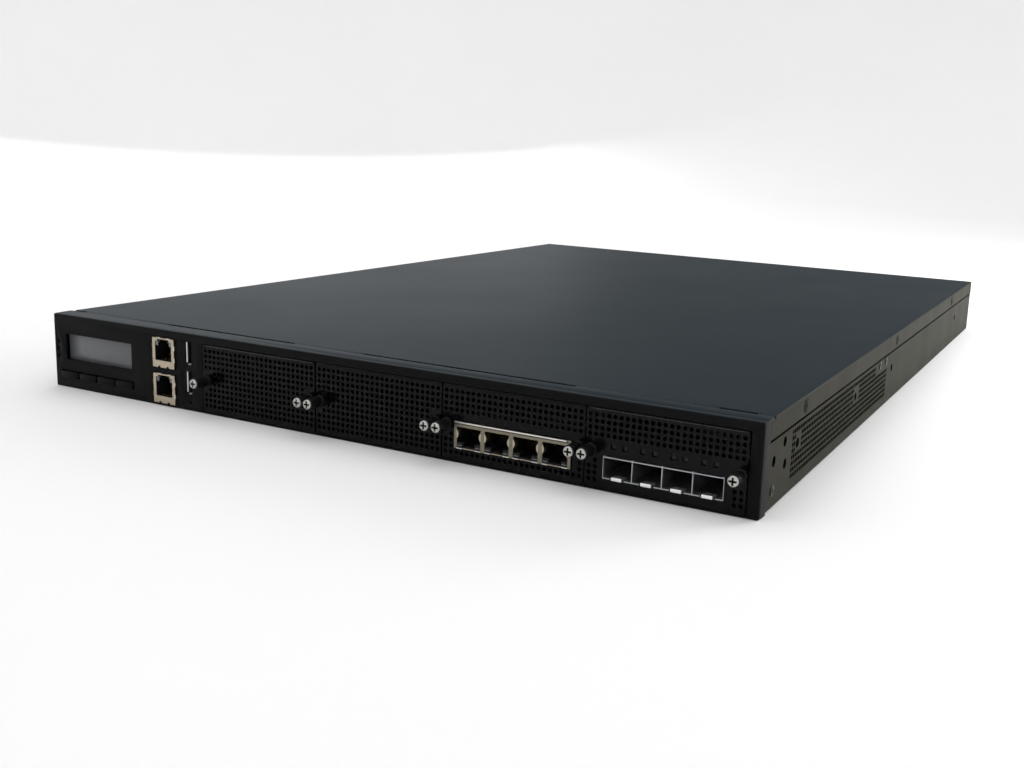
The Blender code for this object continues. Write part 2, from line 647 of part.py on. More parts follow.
def build_power_board():
    """Upright board that the power supplies plug into."""
    ys = (y_at(372 * MM), y_at(372 * MM + BOARD))
    plate = ((x_at(6 * MM), x_at(152 * MM)), ys, (3 * MM, 39 * MM))
    part = place("power_board", box_mesh("power_plate", plate), CIRCUIT_GREEN)
    sockets = []
    for left in PSU_LEFTS:
        sockets.append((span(x_at(left + PSU_WIDTH / 2), 50 * MM),
                        (ys[0] + 0.5 * MM, y_at(PSU_START) - GAP), (8 * MM, 18 * MM)))
    weld(part, box_mesh("power_sockets", *sockets))


# ---- fans ---------------------------------------------------------------
def add_rotor(name, centre, tip, hub, length):
    """Rotor as one solid: the hub with every blade welded on."""
    hub_mesh = rod_mesh("rotor_hub", [(0, 0, span(0, length), hub)], 20)
    part = place(name, smooth(hub_mesh), BLACK_PLASTIC, centre)
    blades = 7
    for index in range(blades):
        turn = 2 * math.pi * index / blades
        corners = []
        for radius, lead in ((hub - 1 * MM, 0.30), (tip, 0.42)):
            for y, sweep in ((-0.42, -lead), (0.42, lead)):
                angle = turn + sweep
                corners.append(Vector((radius * math.cos(angle), y * length, radius * math.sin(angle))))
        root_low, root_high, tip_low, tip_high = corners
        quad = [root_low, root_high, tip_high, tip_low]
        normal = (root_high - root_low).cross(tip_high - root_low).normalized()
        push = normal * 1.0 * MM
        weld(part, prism_mesh("blade", [point - push / 2 for point in quad], push), centre)


def build_fans():
    """Three case fans behind the rear wall."""
    back = y_at(DEPTH - SHEET) - GAP
    ys = (back - FAN_THICKNESS, back)
    for number, x in enumerate(FAN_X, start=1):
        frame = (span(x_at(x), FAN_SIZE), ys, span(FAN_MIDDLE_Z, FAN_SIZE))
        part = place(f"fan_frame_{number}", box_mesh("fan_frame", frame), BLACK_PLASTIC)
        bore = (ys[0] - 1 * MM, ys[1] + 1 * MM)
        cut(part, rod_mesh("fan_bore", [(x_at(x), FAN_MIDDLE_Z, bore, 19.0 * MM)], 32))
        strut_y = (ys[0], ys[0] + 2.5 * MM)
        across = (span(x_at(x), 39 * MM), strut_y, span(FAN_MIDDLE_Z, 2.4 * MM))
        upright = (span(x_at(x), 2.4 * MM), strut_y, span(FAN_MIDDLE_Z, 39 * MM))
        weld(part, box_mesh("strut_across", across))
        weld(part, box_mesh("strut_upright", upright))
        plate = rod_mesh("motor_plate", [(x_at(x), FAN_MIDDLE_Z, strut_y, 9 * MM)], 20)
        weld(part, plate)
        centre = Vector((x_at(x), sum(ys) / 2 + 1 * MM, FAN_MIDDLE_Z))
        add_rotor(f"fan_rotor_{number}", centre, 18.0 * MM, 9 * MM, 20 * MM)


# ---- power supplies -----------------------------------------------------
def build_power_supply(number, left):
    """Plug-in supply: case, inlet with pins, pull handle, fan and latch."""
    rear = y_at(DEPTH + PSU_PROUD)
    xs = (x_at(left), x_at(left + PSU_WIDTH))
    case = box_mesh("psu_case", (xs, (y_at(PSU_START), rear), PSU_Z))
    part = place(f"power_supply_{number}", case, ZINC)
    middle_z = sum(PSU_Z) / 2
    fan_x = x_at(left + 51.5 * MM)
    cut(part, rod_mesh("psu_fan_hole", [(fan_x, middle_z, (rear - 16 * MM, rear + 1 * MM), 18.4 * MM)], 32))
    inlet_x = x_at(left + 15.5 * MM)
    inlet = (span(inlet_x, 24.2 * MM), (rear - 17 * MM, rear + 1 * MM), span(middle_z - 4 * MM, 16.6 * MM))
    cut(part, box_mesh("inlet_hollow", inlet))
    pins = []
    for offset_x, offset_z in ((-7.0, -1.8), (0.0, 1.8), (7.0, -1.8)):
        pins.append((span(inlet_x + offset_x * MM, 2.0 * MM), (rear - 18 * MM, rear - 4 * MM),
                     span(middle_z - 4 * MM + offset_z * MM, 4.0 * MM)))
    weld(part, box_mesh("inlet_pins", *pins))
    handle_x = span(x_at(left + 30.5 * MM), 3.0 * MM)
    for zs in ((7 * MM, 10.5 * MM), (32.5 * MM, 36 * MM)):
        weld(part, box_mesh("handle_arm", (handle_x, (rear - 0.5 * MM, rear + 21 * MM), zs)))
    weld(part, box_mesh("handle_grip", (handle_x, (rear + 18 * MM, rear + 21.5 * MM), (7 * MM, 36 * MM))))

    rotor = Vector((fan_x, rear - 8 * MM, middle_z))
    add_rotor(f"supply_fan_rotor_{number}", rotor, 17.4 * MM, 8.5 * MM, 9 * MM)

    pivot = Vector((x_at(left + PSU_WIDTH - 2.0 * MM), rear + 2.2 * MM, middle_z))
    barrel = bmesh.new()
    add_post(barrel, 0, 0, (-6 * MM, 6 * MM), 1.6 * MM, 16)
    latch = place(f"supply_latch_{number}", finish_mesh("latch_barrel", barrel), BLACK_PLASTIC, pivot)
    lever = (span(0, 2.0 * MM), (0, 13 * MM), (-6 * MM, 6 * MM))
    pad = ((-5.5 * MM, 1.0 * MM), (11 * MM, 13 * MM), (-6 * MM, 6 * MM))
    weld(latch, box_mesh("latch_lever", lever), pivot)
    weld(latch, box_mesh("latch_pad", pad), pivot)


# ---- power switch -------------------------------------------------------
def build_power_switch():
    """Snap-in rocker switch in the rear wall."""
    face = y_at(DEPTH)
    x = x_at(SWITCH_X)
    body = (span(x, 12.8 * MM), (face - 16 * MM, face + 1 * MM), span(SWITCH_Z, 19.0 * MM))
    part = place("power_switch_housing", box_mesh("switch_body", body), BLACK_PLASTIC)
    flange = (span(x, 15.6 * MM), (face + GAP, face + 2.0 * MM), span(SWITCH_Z, 21.8 * MM))
    weld(part, box_mesh("switch_flange", flange))
    recess = (span(x, 10.6 * MM), (face - 9 * MM, face + 3 * MM), span(SWITCH_Z, 17.0 * MM))
    cut(part, box_mesh("switch_recess", recess))
    pivot = Vector((x, face - 2.0 * MM, SWITCH_Z))
    section = [(-2.5, -6.0), (3.6, -7.7), (2.4, 0.0), (3.6, 7.7), (-2.5, 6.0)]
    outline = [(-4.9 * MM, y * MM, z * MM) for y, z in section]
    rocker = prism_mesh("rocker", outline, (9.8 * MM, 0, 0))
    rocker.transform(Matrix.Rotation(-SWITCH_TILT, 4, "X"))
    place("power_switch_rocker", rocker, BLACK_PLASTIC, pivot)


build_chassis()
build_cover()
build_bezel()
build_display()
build_keys()
build_light_pipes()
build_reset()
build_management_jacks()
build_usb_ports()
build_front_board()
for blank in range(2):
    build_module_tray(f"blank_module_{blank + 1}", blank, BLANK_DEPTH)
    build_thumbscrews(blank)
build_copper_module(2)
build_fibre_module(3)
build_backplane()
build_main_board()
build_heatsink()
build_drive()
build_power_board()
build_fans()
for supply, supply_left in enumerate(PSU_LEFTS, start=1):
    build_power_supply(supply, supply_left)
build_power_switch()
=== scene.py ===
"""Looks of a one-unit rack firewall appliance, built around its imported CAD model.

Lengths are metres. Every place comes from the boxes of the CAD nodes, and the sizes named below
belong to details that the CAD model leaves out.
"""
import json
import math
import random

import bmesh
import bpy
from mathutils import Matrix, Vector


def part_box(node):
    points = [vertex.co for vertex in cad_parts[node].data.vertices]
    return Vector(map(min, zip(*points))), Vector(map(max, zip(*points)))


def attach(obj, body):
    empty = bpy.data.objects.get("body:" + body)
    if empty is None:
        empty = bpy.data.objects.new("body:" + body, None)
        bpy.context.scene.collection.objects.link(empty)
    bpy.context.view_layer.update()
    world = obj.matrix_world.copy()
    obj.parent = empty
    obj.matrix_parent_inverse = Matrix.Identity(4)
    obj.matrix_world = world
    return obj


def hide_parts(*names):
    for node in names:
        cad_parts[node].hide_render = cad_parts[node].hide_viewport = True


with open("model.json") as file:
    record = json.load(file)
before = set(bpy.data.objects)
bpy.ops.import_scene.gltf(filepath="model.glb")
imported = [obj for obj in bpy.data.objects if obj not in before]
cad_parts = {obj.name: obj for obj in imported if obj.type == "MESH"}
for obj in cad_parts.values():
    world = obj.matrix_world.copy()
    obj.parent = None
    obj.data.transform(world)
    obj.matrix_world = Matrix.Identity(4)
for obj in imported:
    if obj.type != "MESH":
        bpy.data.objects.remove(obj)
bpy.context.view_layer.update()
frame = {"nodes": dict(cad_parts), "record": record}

MM = 0.001
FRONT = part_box("front_bezel")[0].y
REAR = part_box("chassis_tray")[1].y
SHEET = 1.2 * MM
GAP = 0.3 * MM


def mm(*lengths):
    """Lengths in millimetres, as metres."""
    return tuple(length * MM for length in lengths)


def off(place, first, second):
    """Two places by their distances from one, in millimetres."""
    return place + first * MM, place + second * MM



# ---- camera -------------------------------------------------------------
CAMERA_SPOT = (0.3496, -0.7548, 0.1593)
CAMERA_HEADING = 0.4592
CAMERA_DIP = 0.1972
CAMERA_ROLL = 0.0417
CAMERA_LENS = 39.18
CAMERA_SHIFT = (-0.0650, -0.0247)

# ---- perforations -------------------------------------------------------
HOLE_RADIUS = 1.07 * MM
HOLE_COLUMNS = 25
HOLE_ROWS = 11
HOLE_PITCH = 3.06 * MM
SCREW_CLEARANCE = 5.0 * MM
VENT_PITCH = 3.06 * MM
VENT_RADIUS = 1.3 * MM
VENT_LOW = 8.0 * MM
VENT_ROWS = 8
VENT_DEPTHS = mm(47, 258)
VENT_HIGH_END = 223 * MM
VENT_GAPS = ((51, 60, 19, 28), (167, 181, 19, 28))

# ---- side fasteners: depth behind the front face, height and a hole's radius, in millimetres ----
SIDE_HOLES = ((17.5, 22.5, 2.6), (33.5, 28, 2.5), (35.5, 17, 2.5), (55, 22.5, 2.5),
    (172.5, 22, 2.4),
              (272, 22, 2.5), (535, 21.5, 2.5))
SIDE_SCREWS = ((17.5, 9), (235, 29.5), (252, 29.5))
COVER_SCREW_DEPTHS = (65, 283, 508)
COVER_SCREW_DROP = 5.4 * MM


# ---- finishes -----------------------------------------------------------
class Finish:
    """A node material: noise gives its colour, roughness and relief."""

    def __init__(self, name, roughness, metallic=0.0, specular=0.5, coat=0.0):
        self.material = bpy.data.materials.new(name)
        self.material.use_nodes = True
        self.tree = self.material.node_tree
        self.shader = self.tree.nodes["Principled BSDF"]
        self.roughness = roughness
        for socket, value in (("Metallic", metallic), ("Specular IOR Level", specular),
                              ("Coat Weight", coat)):
            self.shader.inputs[socket].default_value = value
        self.place = self.node("ShaderNodeTexCoord").outputs["Object"]

    def node(self, kind, links=(), values=(), **settings):
        made = self.tree.nodes.new(kind)
        for key, value in settings.items():
            setattr(made, key, value)
        for socket, value in dict(values).items():
            made.inputs[socket].default_value = value
        for socket, source in dict(links).items():
            self.tree.links.new(source, made.inputs[socket])
        return made

    def noise(self, scale, detail=3.0, stretch=(1, 1, 1)):
        spread = self.node("ShaderNodeMapping", {"Vector": self.place}, {"Scale": stretch})
        made = self.node("ShaderNodeTexNoise", {"Vector": spread.outputs["Vector"]},
                         {"Scale": scale, "Detail": detail})
        return made.outputs["Fac"]

    def ramp(self, source, low, high, start=0.0, end=1.0):
        made = self.node("ShaderNodeMapRange", {"Value": source},
                         {"From Min": low, "From Max": high, "To Min": start, "To Max": end})
        return made.outputs["Result"]

    def mix(self, factor, low, high):
        made = self.node("ShaderNodeMix", {"Factor": factor}, data_type="RGBA")
        for socket, value in (("A_Color", low), ("B_Color", high)):
            target = next(i for i in made.inputs if i.identifier == socket)
            if isinstance(value, tuple):
                target.default_value = (*value, 1.0)
            else:
                self.tree.links.new(value, target)
        return next(o for o in made.outputs if o.identifier == "Result_Color")

    def wire(self, socket, source):
        self.tree.links.new(source, self.shader.inputs[socket])

    def relief(self, height, depth, strength=1.0):
        made = self.node("ShaderNodeBump", {"Height": height},
                         {"Strength": strength, "Distance": depth})
        self.wire("Normal", made.outputs["Normal"])


def shade(colour, factor):
    return tuple(min(1.0, channel * factor) for channel in colour)


def textured(name, colour, roughness, metallic=0.0, specular=0.5, coat=0.0, mottle=(30, 0.08),
             grain=(1500, 0.05), stretch=(1, 1, 1), uneven=0.06):
    """Paint, plastic or metal with a mottled colour, an uneven gloss and a fine grain.

    mottle is the noise's scale and the share by which the colour changes, grain is its scale and
    the relief's depth in millimetres, and stretch draws the grain out into brush lines."""
    made = Finish(name, roughness, metallic, specular, coat)
    cloud = made.ramp(made.noise(mottle[0], 4.0), 0.3, 0.7)
    made.wire("Base Color", made.mix(cloud, shade(colour, 1 - mottle[1]),
                                     shade(colour, 1 + mottle[1])))
    fine = made.noise(grain[0], 2.0, stretch)
    smudge = made.noise(mottle[0] * 2.3, 5.0)
    rough = made.ramp(smudge, 0.3, 0.7, max(0.02, roughness - uneven), roughness + uneven)
    made.wire("Roughness", rough)
    made.relief(fine, grain[1] * MM)
    return made.material


def circuit_board(name):
    """Solder mask over tracks, with plated holes."""
    made = Finish(name, 0.42, specular=0.45)
    spread = made.node("ShaderNodeMapping", {"Vector": made.place}, {"Scale": (1, 1, 1)})
    tracks = made.node("ShaderNodeTexBrick", {"Vector": spread.outputs["Vector"]},
                       {"Scale": 60.0, "Mortar Size": 0.012, "Color1": (0.008, 0.050, 0.024, 1),
                        "Color2": (0.010, 0.064, 0.030, 1), "Mortar": (0.030, 0.150, 0.070, 1),
                        "Brick Width": 0.9, "Row Height": 0.11})
    dots = made.node("ShaderNodeTexVoronoi", {"Vector": made.place}, {"Scale": 210.0})
    ring = made.ramp(dots.outputs["Distance"], 0.10, 0.14, 1.0, 0.0)
    made.wire("Base Color", made.mix(ring, tracks.outputs["Color"], (0.42, 0.40, 0.34)))
    made.wire("Roughness", made.ramp(made.noise(90), 0.3, 0.7, 0.34, 0.5))
    made.relief(tracks.outputs["Fac"], 0.03 * MM)
    return made.material


def screen_glass(name):
    """Grey display glass, a little lighter towards its top as a painted reflection."""
    made = Finish(name, 0.24, specular=0.4)
    along_z = made.node("ShaderNodeSeparateXYZ", {"Vector": made.place})
    # lighter towards the top: painted reflection
    height = made.ramp(along_z.outputs["Z"], 17 * MM, 33 * MM)
    painted_reflection = made.mix(height, (0.098, 0.101, 0.107), (0.112, 0.115, 0.121))
    cloud = made.ramp(made.noise(60, 2.0), 0.2, 0.8)
    made.wire("Base Color", made.mix(cloud, painted_reflection, (0.106, 0.109, 0.115)))
    made.wire("Roughness", made.ramp(made.noise(300), 0.3, 0.7, 0.22, 0.26))
    return made.material


FINISHES = {
    # top faces: the case's dark paint given a cool blue-grey tint as a painted reflection of the sky
    # on upward faces
    "cover_paint": textured("cover_powder_coat_painted_sky_tint", (0.0130, 0.0195, 0.0240), 0.50, specular=0.012,
                            mottle=(6, 0.02), grain=(1300, 0.03), uneven=0.015),
    "case_paint": textured("case_powder_coat", (0.034, 0.033, 0.025), 0.52, specular=0.028,
                           mottle=(14, 0.05), grain=(1300, 0.04), uneven=0.03),
    # front black: partly the bezel's own black paint, partly painted shade, set far darker than the
    # case paint for the front that faces away from the lamps
    "bezel_paint": textured("bezel_powder_coat", (0.0034, 0.0036, 0.0040), 0.46, specular=0.065,
                            mottle=(22, 0.10), grain=(1500, 0.03), uneven=0.03),
    "module_paint": textured("module_powder_coat", (0.0022, 0.0024, 0.0026), 0.17, specular=0.11,
                             mottle=(26, 0.10), grain=(1700, 0.008), uneven=0.03),
    "nickel": textured("nickel_plate", (0.44, 0.38, 0.29), 0.34, 1.0, mottle=(120, 0.05),
                       grain=(900, 0.01)),
    "dull_nickel": textured("dull_nickel", (0.20, 0.185, 0.14), 0.36, 1.0, mottle=(120, 0.06),
                            grain=(900, 0.01)),
    # near-white nickel for the cage latch tabs, brighter than the plating: partly the plated tab,
    # partly a painted glint
    "tab_nickel_painted_glint": textured("latch_tab_nickel_painted_glint", (0.93, 0.92, 0.90), 0.42, 1.0, mottle=(90, 0.03),
                           grain=(900, 0.008)),
    # a lighter grey for the module lip's top front edge: painted highlight where the edge catches
    # light
    "edge_painted_highlight": textured("bent_edge_painted_highlight", (0.030, 0.032, 0.034), 0.40, mottle=(40, 0.10),
                          grain=(900, 0.008)),
    "bright_nickel": textured("bright_nickel", (0.74, 0.71, 0.66), 0.28, 1.0, mottle=(90, 0.04),
                              grain=(900, 0.008)),
    "zinc": textured("zinc_plate", (0.38, 0.39, 0.40), 0.42, 1.0, mottle=(160, 0.14),
                     grain=(700, 0.012), uneven=0.10),
    "aluminium": textured("brushed_aluminium", (0.58, 0.59, 0.60), 0.36, 1.0, mottle=(60, 0.05),
                          grain=(900, 0.02), stretch=(1, 0.03, 1)),
    "black_plastic": textured("moulded_black", (0.013, 0.013, 0.014), 0.46, specular=0.4,
                              mottle=(80, 0.10), grain=(2200, 0.03)),
    "mouth_plastic": textured("jack_black", (0.006, 0.006, 0.007), 0.55, specular=0.2,
                              mottle=(80, 0.10), grain=(2200, 0.02)),
    "key_plastic": textured("key_black", (0.0095, 0.0096, 0.0102), 0.48, specular=0.25,
                            mottle=(60, 0.10), grain=(2600, 0.02)),
    "grey_plastic": textured("lamp_grey", (0.150, 0.155, 0.160), 0.35, mottle=(90, 0.08),
                             grain=(1500, 0.01)),
    "lamp_grey": textured("lamp_dark_grey", (0.014, 0.015, 0.015), 0.40, specular=0.2,
        mottle=(90, 0.08), grain=(1500, 0.01)),
    "white_plastic": textured("tongue_white", (0.66, 0.66, 0.63), 0.45, mottle=(90, 0.05),
                              grain=(1500, 0.015)),
    "lamp_lens": textured("lamp_lens", (0.020, 0.021, 0.020), 0.18, coat=0.5, mottle=(200, 0.1),
                          grain=(800, 0.005)),
    "gold": textured("gold_plate", (0.80, 0.58, 0.24), 0.25, 1.0, mottle=(200, 0.05),
                     grain=(900, 0.004)),
    "chip": textured("chip_resin", (0.018, 0.018, 0.019), 0.50, mottle=(150, 0.12),
                     grain=(2500, 0.02)),
    "tin": textured("tin_solder", (0.62, 0.62, 0.60), 0.35, 1.0, mottle=(300, 0.1),
                    grain=(1500, 0.01)),
    "copper_wire": textured("copper_wire", (0.62, 0.28, 0.13), 0.30, 1.0, mottle=(200, 0.08),
                            grain=(2000, 0.01)),
    "black_screw": textured("black_oxide", (0.006, 0.006, 0.0065), 0.34, specular=0.22,
        mottle=(200, 0.15), grain=(1500, 0.012)),
    "screw_steel": textured("screw_nickel", (0.50, 0.49, 0.46), 0.30, 1.0, mottle=(200, 0.08),
                            grain=(1200, 0.012)),
    # near-black for hole walls, screw cross recesses and rings round screw heads: painted shade
    "recess": textured("painted_recess_shade", (0.002, 0.002, 0.002), 0.60, specular=0.04,
        mottle=(200, 0.08), grain=(1200, 0.012)),
    "lens_black": textured("smoked_lens", (0.0007, 0.0007, 0.0008), 0.40, specular=0.03,
        mottle=(200, 0.1), grain=(800, 0.004)),
    "latch_plastic": textured("latch_plastic", (0.010, 0.055, 0.20), 0.42, mottle=(90, 0.08),
                              grain=(2000, 0.02)),
    "dark_head": textured("dark_screw_head", (0.006, 0.006, 0.006), 0.50, specular=0.05,
        mottle=(200, 0.15), grain=(900, 0.02)),
    "rubber": textured("grip_rubber", (0.014, 0.014, 0.015), 0.70, specular=0.25, mottle=(80, 0.10),
                       grain=(900, 0.05)),
    "label_grey": textured("drive_label", (0.55, 0.56, 0.55), 0.5, mottle=(60, 0.05),
                           grain=(1500, 0.01)),
    "cable_grey": textured("cable_sleeve", (0.05, 0.05, 0.055), 0.5, mottle=(100, 0.1),
                           grain=(1500, 0.02)),
    "lead_red": textured("lead_red", (0.30, 0.015, 0.012), 0.5, mottle=(100, 0.1),
        grain=(1500, 0.01)),
    "lead_yellow": textured("lead_yellow", (0.42, 0.30, 0.02), 0.5, mottle=(100, 0.1),
        grain=(1500, 0.01)),
    "lead_blue": textured("lead_blue", (0.02, 0.06, 0.30), 0.5, mottle=(100, 0.1),
        grain=(1500, 0.01)),
    "rocker_plastic": textured("rocker_black", (0.010, 0.010, 0.011), 0.24, mottle=(80, 0.10),
                               grain=(1800, 0.008)),
    "circuit": circuit_board("solder_mask"),
    "screen": screen_glass("display_glass"),
}


# ---- shapes -------------------------------------------------------------
def facing_x(x):
    """Places a plate drawn in (y, z) with its middle plane at x."""
    return Matrix(((0, 0, 1, x), (1, 0, 0, 0), (0, 1, 0, 0), (0, 0, 0, 1)))


def facing_y(y):
    """Places a plate drawn in (x, z) with its middle plane at y."""
    return Matrix(((1, 0, 0, 0), (0, 0, 1, y), (0, 1, 0, 0), (0, 0, 0, 1)))


def facing_z(z):
    """Places a plate drawn in (x, y) with its middle plane at z."""
    return Matrix.Translation((0, 0, z))


def along(place, axis):
    """Places a shape turned about Z so that its axis points another way."""
    return Matrix.Translation(place) @ Vector(axis).to_track_quat("Z", "Y").to_matrix().to_4x4()


def rectangle(us, vs):
    return [(us[0], vs[0]), (us[1], vs[0]), (us[1], vs[1]), (us[0], vs[1])]


def span(middle, size):
    return (middle - size / 2, middle + size / 2)


def circle(u, v, radius, sides=12, turn=0.0):
    return [(u + radius * math.cos(turn + 2 * math.pi * i / sides),
             v + radius * math.sin(turn + 2 * math.pi * i / sides)) for i in range(sides)]


def round_rectangle(us, vs, radius, steps=4):
    """A rectangle with round corners."""
    loop = []
    corners = ((us[1], vs[1], 0), (us[0], vs[1], 1), (us[0], vs[0], 2), (us[1], vs[0], 3))
    for u, v, quarter in corners:
        du = -radius if u == us[1] else radius
        dv = -radius if v == vs[1] else radius
        for i in range(steps + 1):
            angle = math.pi / 2 * (quarter + i / steps)
            loop.append((u + du + radius * math.cos(angle), v + dv + radius * math.sin(angle)))
    return loop


class Shape:
    """The shells of one piece, added in the row frame, each with its finish."""

    def __init__(self):
        self.mesh = bmesh.new()
        self.finishes = []

    def repaint(self, finish, chosen):
        """Gives a new finish to the faces that a test picks."""
        self.finishes.append(finish)
        for face in self.mesh.faces:
            if chosen(face):
                face.material_index = len(self.finishes) - 1

    def add(self, part, finish, placing=None, edge=0.0, steps=2):
        """Takes in a closed shell, after rounding its sharp edges."""
        if placing is not None:
            bmesh.ops.transform(part, matrix=placing, verts=part.verts)
        if edge:
            sharp = [e for e in part.edges if e.is_manifold and e.calc_face_angle() > 0.6]
            bmesh.ops.bevel(part, geom=sharp, offset=edge, segments=steps, profile=0.5,
                            affect="EDGES", clamp_overlap=True)
        bmesh.ops.recalc_face_normals(part, faces=part.faces)
        if finish not in self.finishes:
            self.finishes.append(finish)
        for face in part.faces:
            face.material_index = self.finishes.index(finish)
        shell = bpy.data.meshes.new("shell")
        part.to_mesh(shell)
        part.free()
        self.mesh.from_mesh(shell)
        bpy.data.meshes.remove(shell)

    def box(self, xs, ys, zs, finish, edge=0.0, placing=None):
        part = bmesh.new()
        middle = Vector((sum(xs) / 2, sum(ys) / 2, sum(zs) / 2))
        size = (abs(xs[1] - xs[0]), abs(ys[1] - ys[0]), abs(zs[1] - zs[0]), 1)
        bmesh.ops.create_cube(part, size=1, matrix=Matrix.Translation(middle)
                              @ Matrix.Diagonal(size))
        self.add(part, finish, placing, edge)

    def prism(self, outline, push, finish, edge=0.0, placing=None):
        """Extrudes a closed outline of 3-D points."""
        part = bmesh.new()
        part.faces.new([part.verts.new(point) for point in outline])
        swept = bmesh.ops.extrude_face_region(part, geom=list(part.faces))
        moved = [item for item in swept["geom"] if isinstance(item, bmesh.types.BMVert)]
        bmesh.ops.translate(part, verts=moved, vec=push)
        self.add(part, finish, placing, edge)

    def turned(self, profile, placing, finish, sides=32, closed=False):
        """Turns a profile of (distance along the axis, radius) points."""
        part = bmesh.new()
        rings = []
        for distance, radius in profile:
            count = sides if radius else 1
            rings.append([part.verts.new((*point, distance))
                          for point in circle(0, 0, radius, count)])
        following = rings[1:] + rings[:1] if closed else rings[1:]
        for low, high in zip(rings, following):
            for i in range(sides):
                j = (i + 1) % sides
                corners = (low[i % len(low)], low[j % len(low)], high[j % len(high)],
                           high[i % len(high)])
                part.faces.new(list(dict.fromkeys(corners)))
        self.add(part, finish, placing)

    def plate(self, outline, holes, thickness, placing, finish):
        """A flat sheet with real holes."""
        line = bpy.data.curves.new("sheet_outline", "CURVE")
        line.dimensions = "2D"
        line.fill_mode = "BOTH"
        line.extrude = thickness / 2
        for loop in (outline, *holes):
            spline = line.splines.new("POLY")
            spline.points.add(len(loop) - 1)
            for point, (u, v) in zip(spline.points, loop):
                point.co = (u, v, 0, 1)
            spline.use_cyclic_u = True
        helper = bpy.data.objects.new("sheet_outline", line)
        flat = bpy.data.meshes.new_from_object(helper)
        part = bmesh.new()
        part.from_mesh(flat)
        bmesh.ops.remove_doubles(part, verts=part.verts, dist=MM / 1000)
        bpy.data.objects.remove(helper)
        bpy.data.curves.remove(line)
        bpy.data.meshes.remove(flat)
        self.add(part, finish, placing)

    def screw(self, place, axis, radius, height, finish, dome=0.3, recess=0.5, cross=(0.58, 0.14)):
        """A screw head whose cross recess is darkened by a near-black inlay of painted shade: dome
        is its rounded share of the height, and cross gives the length and half width of the recess's
        arms as shares of the radius."""
        part = bmesh.new()
        rings = []
        for distance, size in ((0, 1), (height * (1 - dome), 1), (height * (1 - dome / 3), 0.93),
                               (height, 0.80)):
            points = circle(0, 0, radius * size, 24)
            rings.append([part.verts.new((*point, distance)) for point in points])
        for low, high in zip(rings, rings[1:]):
            for i in range(24):
                j = (i + 1) % 24
                part.faces.new((low[i], low[j], high[j], high[i]))
        part.faces.new(list(reversed(rings[0])))
        arm, half = radius * cross[0], radius * cross[1]
        cross = [(arm, -half), (arm, half), (half, half), (half, arm), (-half, arm), (-half, half),
                 (-arm, half), (-arm, -half), (-half, -half), (-half, -arm), (half, -arm),
                 (half, -half)]
        mouth = [part.verts.new((u, v, height)) for u, v in cross]
        depth = height * (1 - recess) - radius * 0.15
        floor = [part.verts.new((u * 0.8, v * 0.8, depth)) for u, v in cross]
        edges = []
        for loop in (rings[-1], mouth):
            for first, second in zip(loop, loop[1:] + loop[:1]):
                edges.append(part.edges.get((first, second)) or part.edges.new((first, second)))
        bmesh.ops.triangle_fill(part, use_beauty=True, edges=edges)
        for i in range(12):
            j = (i + 1) % 12
            part.faces.new((mouth[i], mouth[j], floor[j], floor[i]))
        part.faces.new(floor)
        self.add(part, finish, along(place, axis))
        # a near-black inlay half fills the cross recess: painted shade
        shade_inlay = [(u * 0.82, v * 0.82, depth + 0.01 * MM) for u, v in cross]
        self.prism(shade_inlay, (0, 0, (height - depth) * 0.55), "recess", placing=along(place, axis))

    def piece(self, name, body, replaces=(), smooth=32):
        """Makes the object, which rides on a body and stands for CAD nodes."""
        mesh = bpy.data.meshes.new(name)
        self.mesh.to_mesh(mesh)
        self.mesh.free()
        for finish in self.finishes:
            mesh.materials.append(FINISHES[finish])
        mesh.shade_smooth()
        mesh.set_sharp_from_angle(angle=math.radians(smooth))
        made = bpy.data.objects.new(name, mesh)
        bpy.context.scene.collection.objects.link(made)
        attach(made, body)
        if replaces:
            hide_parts(*replaces)
        return made


def dress(node, finish, edge=0.0):
    """Gives a CAD node its finish and rounds its edges."""
    made = frame["nodes"][node]
    made.data.materials.clear()
    made.data.materials.append(FINISHES[finish])
    if edge:
        weld = made.modifiers.new("weld", "WELD")
        weld.merge_threshold = MM / 1000
        merge = made.modifiers.new("merge_flat_faces", "DECIMATE")
        merge.decimate_type = "DISSOLVE"
        merge.angle_limit = math.radians(1)
        bevel = made.modifiers.new("round_edges", "BEVEL")
        bevel.width = edge
        bevel.segments = 2
        bevel.limit_method = "ANGLE"
        bevel.angle_limit = math.radians(40)
        bevel.harden_normals = False


def middle_of(node):
    low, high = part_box(node)
    return (low + high) / 2


def spin_centre(node, joint):
    """A rotor's middle on its joint's axis: the blades' own box isn't centred on that axis."""
    entry = next(j for j in frame["record"]["behaviour"]["joints"] if j["name"] == joint)
    axis = entry["pos_m"]
    return Vector((axis[0], middle_of(node).y, axis[2]))


# ---- case ---------------------------------------------------------------
def side_vents(depth_range):
    """Round holes of one side wall, in (y, z)."""
    holes = []
    columns = int((depth_range[1] - depth_range[0]) / VENT_PITCH) + 1
    for row in range(VENT_ROWS):
        z = VENT_LOW + row * VENT_PITCH
        for column in range(columns):
            depth = depth_range[0] + column * VENT_PITCH
            if row >= VENT_ROWS - 2 and depth > VENT_HIGH_END:
                continue
            blocked = [1 for a, b, low, high in VENT_GAPS if a * MM < depth < b * MM and low
                       * MM < z < high * MM]
            if not blocked:
                holes.append(circle(FRONT + depth, z, VENT_RADIUS))
    return holes


